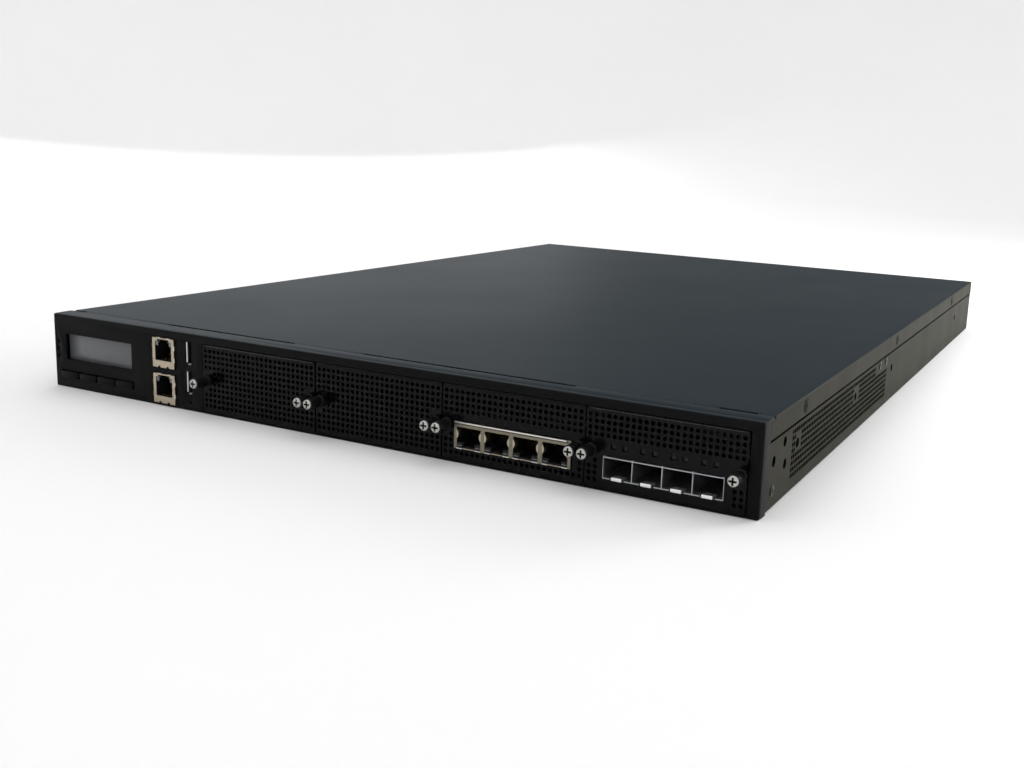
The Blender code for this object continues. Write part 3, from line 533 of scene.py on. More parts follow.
def build_walls():
    """Two side walls with their vents, holes, bends and screws."""
    low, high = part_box("chassis_tray")
    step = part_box("top_cover")[0].z - GAP
    bend = 1.5 * MM
    for side, sign in (("left", -1), ("right", 1)):
        shape = Shape()
        outer = high.x * sign
        holes = side_vents(VENT_DEPTHS)
        holes += [circle(FRONT + d * MM, z * MM, r * MM, 16) for d, z, r in SIDE_HOLES]
        holes += [circle(FRONT + d * MM, z * MM, 1.5 * MM, 12) for d, z in SIDE_SCREWS]
        shape.plate(rectangle((low.y, high.y), (bend, step)), holes, SHEET,
                    facing_x(outer - sign * SHEET / 2), "case_paint")

        def hole_wall_painted_shade(face):
            """Picks the holes' walls, painted near-black as painted shade inside the holes."""
            middle = face.calc_center_median()
            return (abs(face.normal.x) < 0.5 and bend + MM < middle.z < step - MM and low.y
                    + MM < middle.y < high.y - MM)

        # the walls of the vent holes painted near-black: painted shade
        shape.repaint("recess", hole_wall_painted_shade)
        corner = []
        for radius in (bend, bend - SHEET):
            arc = [(outer - sign * (bend - radius * math.cos(a)), low.y,
                    bend - radius * math.sin(a)) for a in [math.pi / 2 * i / 5 for i in range(6)]]
            corner += arc if radius == bend else arc[::-1]
        shape.prism(corner, (0, high.y - low.y, 0), "case_paint")
        inner = outer - sign * 1.1 * MM
        shelf = [(outer, step - 1 * MM), (outer, step), (inner, step + 0.3 * MM), (inner, high.z),
                 (inner - sign * SHEET, high.z), (inner - sign * SHEET, step - 0.6 * MM),
                 (outer - sign * SHEET, step - 1 * MM)]
        shape.prism([(x, low.y, z) for x, z in shelf], (0, high.y - low.y, 0), "case_paint")
        for depth, z in SIDE_SCREWS:
            shape.screw((outer - sign * 0.1 * MM, FRONT + depth * MM, z * MM), (sign, 0, 0),
                        2.6 * MM, 0.6 * MM, "black_screw")
        shape.piece(f"chassis_wall_{side}", "chassis", ("chassis_tray",))


def build_floor():
    """Bottom sheet with countersunk stand-off screws, vent slots, and dividers with lugs between the
    module bays.
    """
    low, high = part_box("chassis_tray")
    bend = 1.5 * MM
    shape = Shape()
    spots = [(x, y) for x in (-0.044, 0.081, 0.201) for y in (-0.082, 0.080, 0.248)]
    spots += [(x, y) for x in (-0.199, -0.141) for y in (-0.088, -0.002)]
    holes = [circle(x, y, 2.4 * MM, 16) for x, y in spots]
    slots = []
    for row in range(5):
        for column in range(14):
            slots.append(round_rectangle(span(-0.190 + column * 9 * MM, 6 * MM),
                                         span(0.045 + row * 5 * MM, 2 * MM), 0.95 * MM, 3))
    shape.plate(rectangle((low.x + bend, high.x - bend), (low.y, high.y)), holes + slots, SHEET,
                facing_z(SHEET / 2), "case_paint")
    for x, y in spots:
        shape.screw((x, y, 1.0 * MM), (0, 0, -1), 2.3 * MM, 0.7 * MM, "black_screw")
    for x, y in spots:
        shape.turned([(0, 0), mm(0, 3), mm(4.2, 3), mm(4.3, 2.9), mm(4.3, 0)],
                     Matrix.Translation((x, y, 1.1 * MM)), "zinc", 6)
    edges = [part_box("blank_module_1")[0].x - GAP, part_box("blank_module_2")[0].x - GAP,
             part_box("copper_module_tray")[0].x - GAP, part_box("fibre_module_tray")[0].x - GAP,
             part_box("fibre_module_tray")[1].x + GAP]
    for index, x in enumerate(edges):
        shape.box(span(x, 1 * MM), off(FRONT, 10, 197), mm(1.1, 30), "bezel_paint", 0.2 * MM)
        lug = (x - (0.6 if index == 0 else 6) * MM, x + (0.6 if index == 4 else 6) * MM)
        holes = [circle(x + side * 3.3 * MM, 19.2 * MM, 1.85 * MM, 16) for side in (-1, 1)
                 if lug[0] < x + side * 3.3 * MM < lug[1]]
        shape.plate(rectangle(lug, mm(1.6, 26)), holes, 11.3 * MM, facing_y(FRONT + 7.35 * MM),
                    "bezel_paint")
    return shape.piece("chassis_floor", "chassis", ("chassis_tray",))


def build_cover():
    """Lid with rounded long edges, its flanges and their screws."""
    low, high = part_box("top_cover")
    half, top, sheet, radius = high.x, high.z, 1.0 * MM, 1.1 * MM
    start = low.y + 6.1 * MM
    arc = [(half - radius + radius * math.cos(a), top - radius + radius * math.sin(a))
           for a in [math.pi / 2 * i / 6 for i in range(7)]]
    inside = [(half - sheet, top - sheet), (half - sheet, low.z)]
    right = inside + [(half, low.z)] + arc
    profile = right + [(-x, z) for x, z in reversed(right)]
    shape = Shape()
    shape.prism([(x, start, z) for x, z in profile], (0, high.y - start, 0), "cover_paint")
    # the side faces keep the plain case paint; only the top carries the painted blue-grey reflection
    shape.repaint("case_paint", lambda face: abs(face.normal.x) > 0.75)
    for sign in (-1, 1):
        flange = rectangle((low.y, start), (low.z, top - sheet - GAP))
        shape.plate(flange, [], sheet, facing_x(sign * (half - sheet / 2)), "case_paint")
        for depth in COVER_SCREW_DEPTHS:
            place = (sign * (half - 0.05 * MM), FRONT + depth * MM, top - COVER_SCREW_DROP)
            # a near-black ring round each screw head: painted shade
            shape.turned([mm(-0.1, 0), mm(-0.1, 3.9), mm(0.12, 3.9), mm(0.02, 3.6), mm(0.02, 0)],
                         along(place, (sign, 0, 0)), "recess")
            shape.screw(place, (sign, 0, 0), 3.1 * MM, 0.4 * MM, "dark_head")
    return shape.piece("cover_shell", "cover", ("top_cover",))


# ---- front bezel --------------------------------------------------------
def carve(base, cutters, edge):
    """The mesh of a solid after cutting shapes from it, with its new edges rounded."""
    objects = []
    for source in (base, *cutters):
        mesh = bpy.data.meshes.new("carving")
        source.mesh.to_mesh(mesh)
        objects.append(bpy.data.objects.new("carving", mesh))
        bpy.context.scene.collection.objects.link(objects[-1])
    for cutter in objects[1:]:
        change = objects[0].modifiers.new("cut", "BOOLEAN")
        change.object = cutter
        change.solver = "EXACT"
    bevel = objects[0].modifiers.new("round_edges", "BEVEL")
    bevel.width = edge
    bevel.segments = 2
    bevel.limit_method = "ANGLE"
    bevel.angle_limit = math.radians(50)
    bpy.context.view_layer.update()
    graph = bpy.context.evaluated_depsgraph_get()
    result = bpy.data.meshes.new_from_object(objects[0].evaluated_get(graph))
    part = bmesh.new()
    part.from_mesh(result)
    bmesh.ops.remove_doubles(part, verts=part.verts, dist=MM / 1000)
    for made in objects:
        bpy.data.objects.remove(made)
    return part


def build_bezel():
    """Front frame with rounded outer edges and its openings cut through."""
    low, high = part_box("front_bezel")
    return_depth = 13.0 * MM
    block = bmesh.new()
    centre = Vector(((low.x + high.x) / 2, low.y + return_depth / 2, (low.z + high.z) / 2))
    size = (high.x - low.x, return_depth, high.z - low.z, 1)
    bmesh.ops.create_cube(block, size=1, matrix=Matrix.Translation(centre) @ Matrix.Diagonal(size))

    def at_front(edge):
        return all(vertex.co.y < low.y + MM for vertex in edge.verts)

    upright = [e for e in block.edges if at_front(e)
               and abs(e.verts[0].co.z - e.verts[1].co.z) > MM]
    bmesh.ops.bevel(block, geom=upright, offset=1.3 * MM, segments=6, profile=0.5, affect="EDGES")
    rim = [e for e in block.edges if at_front(e) is False and e.calc_face_angle() > 1.2
           and all(v.co.y < low.y + 3 * MM for v in e.verts)]
    rim += [e for e in block.edges if e.calc_face_angle() > 1.2 and e not in rim
            and abs(e.verts[0].co.z - e.verts[1].co.z) < MM / 10
            and all(v.co.y < low.y + 3 * MM for v in e.verts)]
    bmesh.ops.bevel(block, geom=list(dict.fromkeys(rim)), offset=0.9 * MM, segments=5, profile=0.5,
                    affect="EDGES", clamp_overlap=True)
    base = Shape()
    base.add(block, "bezel_paint")

    hollow = Shape()
    side = high.x - SHEET
    roof = high.z - 1.0 * MM
    hollow.box((-side, side), off(low.y, 1.6, 30), (1.0 * MM, roof), "bezel_paint")
    back = low.y + 9.2 * MM
    trim = Shape()
    trim.box((-side - 5 * MM, side + 5 * MM), (back, low.y + 30 * MM), (-1 * MM, roof - 0.2 * MM),
             "bezel_paint")
    groove = Shape()
    groove.box((low.x + 200 * MM, side + 5 * MM), span(low.y + 3.4 * MM, 0.25 * MM),
               off(high.z, -0.2, 1), "bezel_paint")

    holes = Shape()
    through = off(low.y, -2, 5)
    bay = (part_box("blank_module_1")[0].x - 0.5 * MM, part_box("fibre_module_tray")[1].x + 0.5 * MM)
    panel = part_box("blank_module_1")
    holes.box(bay, through, (panel[0].z - GAP, panel[1].z + GAP), "bezel_paint")
    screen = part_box("lcd_display")
    holes.box((screen[0].x + 3.1 * MM, screen[1].x - 7.0 * MM), through, mm(17.2, 32.6),
              "bezel_paint")
    first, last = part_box("menu_key_1"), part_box("menu_key_4")
    holes.box((first[0].x - GAP, last[1].x + GAP), through, (first[0].z - GAP, first[1].z + GAP),
              "bezel_paint")
    for node in ("management_port_upper", "management_port_lower", "usb_port_upper",
                 "usb_port_lower"):
        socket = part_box(node)
        holes.box((socket[0].x - GAP, socket[1].x + GAP), through,
                  (socket[0].z - GAP, socket[1].z + GAP), "bezel_paint")
    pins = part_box("status_light_pipes")
    x = (pins[0].x + pins[1].x) / 2
    for z in (pins[0].z + 1.8 * MM, middle_of("status_light_pipes").z, pins[1].z - 1.8 * MM):
        holes.turned([(0, 0), mm(0, 1.25), mm(7, 1.25), mm(7, 0)],
                     along((x, through[0], z), (0, 1, 0)), "bezel_paint", 20)
    reset = middle_of("reset_button")
    holes.turned([(0, 0), mm(0, 0.8), mm(7, 0.8), mm(7, 0)],
                 along((reset.x, through[0], reset.z), (0, 1, 0)), "bezel_paint", 16)
    part = carve(base, (hollow, trim, groove, holes), 0.22 * MM)
    shape = Shape()
    shape.add(part, "bezel_paint")
    # the bezel's upward faces take the top colour: a painted blue-grey reflection of cool light
    shape.repaint("cover_paint", lambda face: face.normal.z > 0.97
                  and face.calc_center_median().z > high.z - 0.5 * MM)
    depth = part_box("front_bezel")[1].y
    for left, right in ((11.5, 79.0), (171.0, 217.0), (340.6, 412.0), (430.0, 437.5)):
        shape.box((low.x + left * MM, low.x + right * MM),
                  (low.y + return_depth - 0.05 * MM, depth), (roof, high.z), "cover_paint",
                  0.15 * MM)
    return shape.piece("bezel_frame", "chassis", ("front_bezel",), smooth=28)


# ---- display, keys and small parts of the front ---------------------------
def build_display():
    """Screen module: a dark metal frame, its glass and the board behind."""
    low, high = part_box("lcd_display")
    window = ((low.x + 3.1 * MM, high.x - 7.0 * MM), mm(17.2, 32.6))
    shape = Shape()
    frame_x = (window[0][0] - 1.4 * MM, window[0][1] + 1.4 * MM)
    frame_z = (window[1][0] - 1.6 * MM, window[1][1] + 1.6 * MM)
    shape.box(frame_x, off(low.y, 0.5, 7), frame_z, "black_plastic", 0.3 * MM)
    shape.box((window[0][0] - 0.6 * MM, window[0][1] + 0.6 * MM), off(low.y, 0, 2),
              (window[1][0] - 0.6 * MM, window[1][1] + 0.6 * MM), "screen", 0.25 * MM)
    shape.box((low.x, high.x), off(high.y, -1.6, 0), (low.z, high.z), "circuit", 0.1 * MM)
    for i in range(16):
        x = low.x + 12 * MM + i * 2.54 * MM
        shape.turned([mm(-0.6, 0), mm(-0.5, 0.6), mm(0, 0.8), mm(0.1, 0)],
                     along((x, high.y, high.z - 1.6 * MM), (0, 1, 0)), "tin", 8)
    for x in (low.x + 2.5 * MM, high.x - 2.5 * MM):
        for z in (low.z + 2.5 * MM, high.z - 2.5 * MM):
            shape.screw((x, low.y + 6.7 * MM, z), (0, -1, 0), 1.6 * MM, 0.9 * MM, "screw_steel")
    shape.piece("display_module", "chassis", ("lcd_display",))


def build_small_front_parts():
    """Menu keys, light pipes, reset plunger and the board behind them."""
    for number in range(1, 5):
        low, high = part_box(f"menu_key_{number}")
        x = (low.x + high.x) / 2
        shape = Shape()
        cap = (low.x + (0 if number == 1 else 0.25 * MM), high.x - 0.45 * MM)
        shape.box(cap, off(low.y, 0, 6.6), (low.z - 0.2 * MM, high.z - 0.35 * MM), "bezel_paint",
                  0.3 * MM)
        shape.box(span(x, 3 * MM), (low.y + 6 * MM, high.y), span((low.z + high.z) / 2, 3 * MM),
                  "black_plastic", 0.2 * MM)
        shape.piece(f"key_cap_{number}", f"key_{number}", (f"menu_key_{number}",))
    dress("status_light_pipes", "lens_black", 0.2 * MM)
    dress("reset_button", "black_plastic", 0.15 * MM)
    dress("front_io_board", "circuit", 0.1 * MM)


# ---- sockets ------------------------------------------------------------
PORTS = 4                    # jacks in a copper module, cages in a fibre module
HOUSING_DEPTH = 12.6 * MM
JACK_SILL = 4.1 * MM         # a management jack's sill above its underside
def mouth_outline(x, sill, steps, tab_up):
    """Stepped mouth of a network jack in (x, z): (half width, top) pairs from the wide part up."""
    right = []
    for (half, top), following in zip(steps, (*steps[1:], None)):
        right.append((half, top))
        if following:
            right.append((following[0], top))
    widest = steps[0][0]
    half_loop = [(widest, 0), *right]
    loop = half_loop + [(-u, v) for u, v in reversed(half_loop)]
    return [(x + u, sill + (v if tab_up else -v)) for u, v in loop]


JACK_STEPS = (mm(6.1, 7.8), mm(4.0, 10.2), mm(2.6, 11.8))
BLOCK_STEPS = (mm(6.4, 7.7), mm(3.2, 9.7))


def add_contacts(shape, x, sill, front, tab_up):
    """Eight sprung contact wires that lean into a mouth from the wall opposite its latch notch."""
    up = 1 if tab_up else -1
    wire = 0.35 * MM
    for i in range(8):
        left = x + (i - 3.5) * 1.02 * MM - wire / 2
        side = [(front + 2.2 * MM, sill + up * 0.1 * MM), (front + 2.8 * MM, sill + up * 0.1 * MM),
                (front + 9.8 * MM, sill + up * 3.9 * MM), (front + 9.4 * MM, sill + up * 4.3 * MM)]
        shape.prism([(left, y, z) for y, z in side], (wire, 0, 0), "gold")


def build_management_jacks():
    """Two stacked jacks: nickel shells with springs round black housings, contacts and lamps."""
    for level in ("upper", "lower"):
        node = f"management_port_{level}"
        low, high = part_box(node)
        x = (low.x + high.x) / 2
        sill = low.z + JACK_SILL
        mouth = mouth_outline(x, sill, JACK_STEPS, True)
        shape = Shape()
        face = round_rectangle((low.x, high.x), (low.z, high.z), 0.35 * MM, 3)
        opening = [(x - 6.15 * MM, sill - 0.15 * MM), (x + 6.15 * MM, sill - 0.15 * MM),
                   (x + 6.15 * MM, sill + 10.9 * MM), (x + 4.4 * MM, sill + 10.9 * MM),
                   (x + 4.4 * MM, sill + 12.0 * MM), (x - 4.4 * MM, sill + 12.0 * MM),
                   (x - 4.4 * MM, sill + 10.9 * MM), (x - 6.15 * MM, sill + 10.9 * MM)]
        shape.plate(face, [opening], 0.4 * MM, facing_y(low.y + 0.2 * MM), "nickel")
        inner = rectangle((low.x + 0.35 * MM, high.x - 0.35 * MM),
                          (low.z + 0.35 * MM, high.z - 0.35 * MM))
        shape.plate(face, [inner], high.y - low.y - 0.4 * MM,
                    facing_y((low.y + high.y) / 2 + 0.2 * MM), "nickel")
        block = rectangle((low.x + 0.4 * MM, high.x - 0.4 * MM),
                          (low.z + 0.4 * MM, high.z - 0.4 * MM))
        shape.plate(block, [mouth], HOUSING_DEPTH, facing_y(low.y + 0.5 * MM + 6.3 * MM),
                    "mouth_plastic")
        shape.box((low.x + 0.4 * MM, high.x - 0.4 * MM), (low.y + 13 * MM, high.y - 0.3 * MM),
                  (low.z + 0.4 * MM, high.z - 0.4 * MM), "mouth_plastic", 0.3 * MM)
        add_contacts(shape, x, sill, low.y, True)
        for sign in (-1, 1):
            shape.box(span(x + sign * 5.0 * MM, 2.0 * MM), off(low.y, 0.3, 3), off(sill, 8.4, 10.7),
                      "grey_plastic", 0.3 * MM)
            # near-black half discs at the shell's lower edge: painted shade
            shape.turned([(0, 0), mm(0, 1), mm(0.3, 1), mm(0.3, 0)],
                         along((x + sign * 3.2 * MM, low.y - 0.02 * MM, low.z), (0, 1, 0)),
                         "recess", 16)
            spring = [(low.y - 0.25 * MM, 0.0), (low.y + 0.1 * MM, 0.55), (low.y + 4 * MM, 0.2),
                      (low.y + 4 * MM, -0.1), (low.y + 0.4 * MM, -0.1)]
            for z in (low.z + 5 * MM, high.z - 5 * MM):
                edge_x = high.x if sign > 0 else low.x
                shape.prism([(edge_x + sign * out * MM * 0.5, y, z - 1.3 * MM) for y,
                             out in spring], (0, 0, 2.6 * MM), "bright_nickel")
            for z, up in ((low.z, -1), (high.z, 1)):
                shape.turned([(0, 0), mm(0.2, 0.4), mm(2.6, 0.4), mm(2.8, 0)],
                             along((x + sign * 3.6 * MM - 1.4 * MM, low.y + 0.5 * MM,
                                    z - up * 0.15 * MM), (1, 0, 0)), "bright_nickel", 12)
        shape.piece(f"management_jack_{level}", "chassis", (node,))


def build_usb_ports():
    """Two upright sockets with thin black shells, contact tongues and flared lips."""
    for level in ("upper", "lower"):
        node = f"usb_port_{level}"
        low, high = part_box(node)
        shape = Shape()
        wall = 0.3 * MM
        face = round_rectangle((low.x, high.x), (low.z, high.z), 0.5 * MM, 3)
        inner = round_rectangle((low.x + wall, high.x - wall), (low.z + wall, high.z - wall),
                                0.3 * MM, 3)
        shape.plate(face, [inner], high.y - low.y, facing_y((low.y + high.y) / 2), "mouth_plastic")
        shape.box((low.x + wall, high.x - wall), off(high.y, -10, -0.5),
                  (low.z + wall, high.z - wall), "mouth_plastic")
        x = (low.x + high.x) / 2 - 1.0 * MM
        tongue = (low.z + 0.9 * MM, high.z - 0.7 * MM)
        shape.box(span(x - 0.3 * MM, 0.8 * MM), off(low.y, 0.3, 0.6), tongue, "white_plastic",
                  0.1 * MM)
        shape.box(span(x, 1.5 * MM), (low.y + 0.55 * MM, high.y - 9 * MM), tongue, "mouth_plastic",
                  0.1 * MM)
        for i in range(4):
            z = (low.z + high.z) / 2 + (i - 1.5) * 2.3 * MM
            shape.box(span(x - 0.78 * MM, 0.2 * MM), (low.y + 1.4 * MM, high.y - 9.5 * MM),
                      span(z, 1.0 * MM), "gold")
        lip = [(low.y + 0.5 * MM, low.z + 0.35 * MM), (low.y - 0.35 * MM, low.z - 0.05 * MM),
               (low.y - 0.45 * MM, low.z + 0.15 * MM), (low.y + 0.3 * MM, low.z + 0.6 * MM)]
        shape.prism([(high.x - 2.4 * MM, y, z) for y, z in lip], (2.0 * MM, 0, 0), "bright_nickel")
        shape.piece(f"usb_socket_{level}", "chassis", (node,))


def build_copper_block():
    """Row of four shielded jacks: a nickel shell, a bright lip and a housing behind each mouth."""
    low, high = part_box("copper_port_block")
    pitch = (high.x - low.x - 0.7 * MM) / PORTS
    centres = [low.x + 0.35 * MM + pitch * (i + 0.5) for i in range(PORTS)]
    ceiling = low.z + 10.9 * MM
    shape = Shape()
    outline = [(low.x, low.z)]
    for x in centres:
        outline += [(x - 6.7 * MM, low.z), (x - 6.7 * MM, ceiling + 0.1 * MM),
                    (x + 6.7 * MM, ceiling + 0.1 * MM), (x + 6.7 * MM, low.z)]
    outline += [(high.x, low.z), (high.x, high.z), (low.x, high.z)]
    shape.plate(outline, [], 0.45 * MM, facing_y(low.y + 0.23 * MM), "dull_nickel")
    inner = rectangle((low.x + 0.4 * MM, high.x - 0.4 * MM), (low.z + 0.4 * MM, high.z - 0.4 * MM))
    shell = rectangle((low.x, high.x), (low.z, high.z))
    shape.plate(shell, [inner], high.y - low.y - 0.5 * MM,
                facing_y((low.y + high.y) / 2 + 0.25 * MM), "nickel")
    mouths = [mouth_outline(x, ceiling, BLOCK_STEPS, False) for x in centres]
    shape.plate(inner, mouths, HOUSING_DEPTH, facing_y(low.y + 6.9 * MM), "mouth_plastic")
    shape.box((inner[0][0], inner[1][0]), (low.y + 13.3 * MM, high.y - 0.4 * MM),
              (inner[0][1], inner[2][1]), "mouth_plastic")
    # bright nickel bar along the top: the plated lip, brightened as a painted highlight of its lit
    # top edge
    shape.box((low.x + 0.3 * MM, high.x - 2.0 * MM), off(low.y, -0.75, 0.4),
              off(high.z, -0.75, 0.05), "bright_nickel", 0.25 * MM)
    # black strip under the lip: painted shadow line
    shape.box((low.x + 0.3 * MM, high.x - 1.2 * MM), off(low.y, -0.04, 0.3),
              off(high.z, -1.35, -0.75), "mouth_plastic")
    for x in centres:
        add_contacts(shape, x, ceiling, low.y, False)
        for sign in (-1, 1):
            shape.box(span(x + sign * 5.0 * MM, 3.0 * MM), off(low.y, 0.1, 1.6),
                      off(low.z, 0.75, 2.9), "lamp_grey", 0.3 * MM)
            shape.box(span(x + sign * 5.0 * MM, 2.6 * MM), off(low.y, 0.05, 0.3),
                      off(low.z, 1.5, 1.8), "grey_plastic")
            shape.box(span(x + sign * 5.2 * MM, 3.2 * MM), off(low.y, -0.15, 0.3),
                      off(low.z, 0, 0.5), "bright_nickel", 0.15 * MM)
            bulge = [(x + sign * 6.7 * MM, low.z + 5.2 * MM),
                     (x + sign * 6.5 * MM, low.z + 9.4 * MM)]
            arc = []
            for i in range(9):
                share = i / 8
                arc.append((x + sign * (6.5 - 0.75 * math.sin(math.pi * share)) * MM,
                            bulge[0][1] + (bulge[1][1] - bulge[0][1]) * share))
            loop = arc + [(x + sign * 6.9 * MM, bulge[1][1]), (x + sign * 6.9 * MM, bulge[0][1])]
            shape.prism([(u, low.y - 0.1 * MM, v) for u, v in loop], (0, 3.5 * MM, 0), "nickel",
                        0.1 * MM)
    shape.piece("copper_jack_row", "module_3", ("copper_port_block",))


def build_fibre_cages():
    """Four joined transceiver cages with thin walls, latch tabs and connectors at the back."""
    low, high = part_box("fibre_cage_block")
    pitch = (high.x - low.x) / PORTS
    shape = Shape()
    shell = rectangle((low.x, high.x), (low.z, high.z))
    mouths = []
    centres = [low.x + pitch * (i + 0.5) for i in range(PORTS)]
    for x in centres:
        mouths.append(rectangle(span(x, 14.05 * MM), (low.z + 0.55 * MM, high.z - 0.5 * MM)))
    shape.plate(shell, mouths, high.y - low.y, facing_y((low.y + high.y) / 2), "zinc")
    shape.box((low.x + 0.2 * MM, high.x - 0.2 * MM), off(high.y, -1, -0.2),
              (low.z + 0.2 * MM, high.z - 0.2 * MM), "zinc")
    for x in centres:
        shape.box(span(x, 12 * MM), off(high.y, -12, -1.2), (low.z + 1.2 * MM, high.z - 2 * MM),
                  "mouth_plastic", 0.3 * MM)
        tab = [(low.y - 0.95 * MM, low.z - 0.05 * MM), (low.y - 0.95 * MM, low.z + 1.45 * MM),
               (low.y - 0.6 * MM, low.z + 1.6 * MM), (low.y + 5 * MM, low.z + 0.9 * MM),
               (low.y + 5 * MM, low.z + 0.5 * MM)]
        # the tab in near-white nickel: painted glint
        shape.prism([(x - 2.6 * MM, y, z) for y, z in tab], (5.2 * MM, 0, 0), "tab_nickel_painted_glint",
                    0.15 * MM)
        # black blocks beside each tab: painted shade in its slots
        for sign in (-1, 1):
            shape.box(span(x + sign * 3.1 * MM, 0.8 * MM), off(low.y, -0.06, 0.5),
                      off(low.z, 0.05, 0.75), "mouth_plastic")
    for i in range(PORTS + 1):
        x = low.x + pitch * i + (0.5 * MM if i == 0 else -0.5 * MM if i == PORTS else 0)
        shape.box(span(x, 0.9 * MM), off(low.y, -0.1, 3), off(high.z, -0.3, 0.3), "zinc", 0.15 * MM)
    shape.piece("fibre_cage_row", "module_4", ("fibre_cage_block",))


# ---- plug-in modules ----------------------------------------------------
def screw_spots(index):
    """Middles of a module's two thumbscrews, in (x, z)."""
    spots = [middle_of(f"thumbscrew_knob_{2 * index + side + 1}") for side in (0, 1)]
    return [(spot.x, spot.z) for spot in spots]


def build_module(index, node, body, window=None, lamps=(), proud=0.0):
    """Perforated face with a bent top edge, screw ferrules and the folded tray behind."""
    low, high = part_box(node)
    screws = screw_spots(index)
    front = FRONT - proud
    ferrules = (screws[0][0] - 3.1 * MM, screws[1][0] + 3.1 * MM)
    left, right = max(low.x, ferrules[0] + 0.2 * MM), min(high.x, ferrules[1] - 0.2 * MM)
    lip = high.z - 0.9 * MM
    holes = []
    first_x = (left + right) / 2 - HOLE_PITCH * (HOLE_COLUMNS - 1) / 2
    first_z = low.z + 3.75 * MM
    for row in range(HOLE_ROWS):
        z = first_z + row * HOLE_PITCH
        for column in range(HOLE_COLUMNS):
            x = first_x + column * HOLE_PITCH
            if any(math.hypot(x - sx, z - sz) < SCREW_CLEARANCE for sx, sz in screws):
                continue
            if (window and window[0] - 1.8 * MM < x < window[1] + 1.8 * MM
                    and window[2] - 1.8 * MM < z < 26 * MM):
                continue
            holes.append(circle(x, z, HOLE_RADIUS))
    holes += [circle(x, z, 1.85 * MM, 20) for x, z in screws]
    if window:
        holes.append(rectangle(window[:2], window[2:]))
    holes += [round_rectangle(span(x, 2.6 * MM), span(z, 2.6 * MM), 0.3 * MM, 2) for x, z in lamps]
    shape = Shape()
    shape.plate(rectangle((left, right), (low.z, lip)), holes, SHEET, facing_y(front + SHEET / 2),
                "module_paint")
    shape.box((left, right), off(front, 0, 6), (lip, high.z), "module_paint", 0.35 * MM)
    if proud:
        # lighter strip on the lip's top front edge: painted highlight
        shape.box((left + 2 * MM, right - 1 * MM), off(front, -0.05, 0.3), off(lip, 0.15, 0.45),
                  "edge_painted_highlight", 0.1 * MM)
    for x, z in lamps:
        shape.box(span(x, 2.4 * MM), off(front, 0.9, 5), span(z, 2.4 * MM), "lamp_grey", 0.2 * MM)
    for x, z in screws:
        shape.turned([mm(1, 1.9), mm(1, 3.1), mm(-1.6, 3.1), mm(-1.9, 2.9), mm(-2.0, 2.6),
                      mm(-2.0, 1.9)], along((x, FRONT, z), (0, 1, 0)), "black_screw", 28,
                     closed=True)
    tray = (left + 6.3 * MM, right - 6.3 * MM)
    start, floor, wall, sheet = front + SHEET, 2.0 * MM, 12.0 * MM, 1.0 * MM
    cut_back = FRONT + 26 * MM if window else start
    outline = [(tray[0], floor), (tray[1], floor), (tray[1], wall), (tray[1] - sheet, wall),
               (tray[1] - sheet, floor + sheet), (tray[0] + sheet, floor + sheet),
               (tray[0] + sheet, wall), (tray[0], wall)]
    shape.prism([(x, cut_back, z) for x, z in outline], (0, high.y - cut_back, 0), "bezel_paint",
                0.15 * MM)
    if window:
        for edge, sign in ((tray[0], 1), (tray[1], -1)):
            shape.box((edge, edge + sign * sheet), (start, cut_back), (floor, window[2] - GAP),
                      "bezel_paint", 0.1 * MM)
        shape.box(tray, (start, cut_back), (floor, floor + sheet), "bezel_paint", 0.1 * MM)
    shape.piece(f"module_face_{index + 1}", body, (node,))


def build_modules():
    build_module(0, "blank_module_1", "module_1", proud=0.3 * MM)
    build_module(1, "blank_module_2", "module_2")
    low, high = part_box("copper_port_block")
    window = (low.x - GAP, high.x + GAP, low.z - GAP, high.z + GAP)
    build_module(2, "copper_module_tray", "module_3", window)
    low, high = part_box("fibre_cage_block")
    window = (low.x - GAP, high.x + GAP, low.z - GAP, high.z + GAP)
    pitch = (high.x - low.x) / 4
    lamps = [(low.x + pitch * (i + 0.5) + side * 2.9 * MM, high.z + 4.8 * MM) for i in range(4)
             for side in (-1, 1)]
    build_module(3, "fibre_module_tray", "module_4", window, lamps, 0.3 * MM)


def build_thumbscrews():
    """Captive screws: a threaded stud and a diamond-knurled sleeve with a nickel cross-head end."""
    for number in range(1, 9):
        low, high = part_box(f"thumbscrew_stud_{number}")
        x, z = middle_of(f"thumbscrew_stud_{number}").x, middle_of(f"thumbscrew_stud_{number}").z
        shape = Shape()
        profile = [(0, 0), mm(0, 1.2), mm(2.8, 1.2)]
        length = high.y - low.y
        turns = int((length - 3.4 * MM) / (0.5 * MM))
        for i in range(turns):
            start = 3 * MM + i * 0.5 * MM
            profile += [(start, 1.25 * MM), (start + 0.25 * MM, 1.5 * MM)]
        profile += [(length - 0.3 * MM, 1.25 * MM), (length, 0.9 * MM), (length, 0)]
        shape.turned(profile, along((x, low.y, z), (0, 1, 0)), "screw_steel", 20)
        shape.piece(f"thumbscrew_thread_{number}", f"stud_{number}",
                    (f"thumbscrew_stud_{number}",))

        low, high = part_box(f"thumbscrew_knob_{number}")
        radius = (high.x - low.x) / 2
        shape = Shape()
        shape.add(knurled_sleeve(high.y - low.y - 0.9 * MM, radius), "black_screw",
                  along((x, high.y, z), (0, -1, 0)))
        shape.screw((x, low.y + 1.0 * MM, z), (0, -1, 0), 2.5 * MM, 0.95 * MM, "screw_steel", 0.5,
                    0.5, (0.76, 0.20))
        shape.piece(f"thumbscrew_sleeve_{number}", f"knob_{number}",
                    (f"thumbscrew_knob_{number}",), smooth=50)


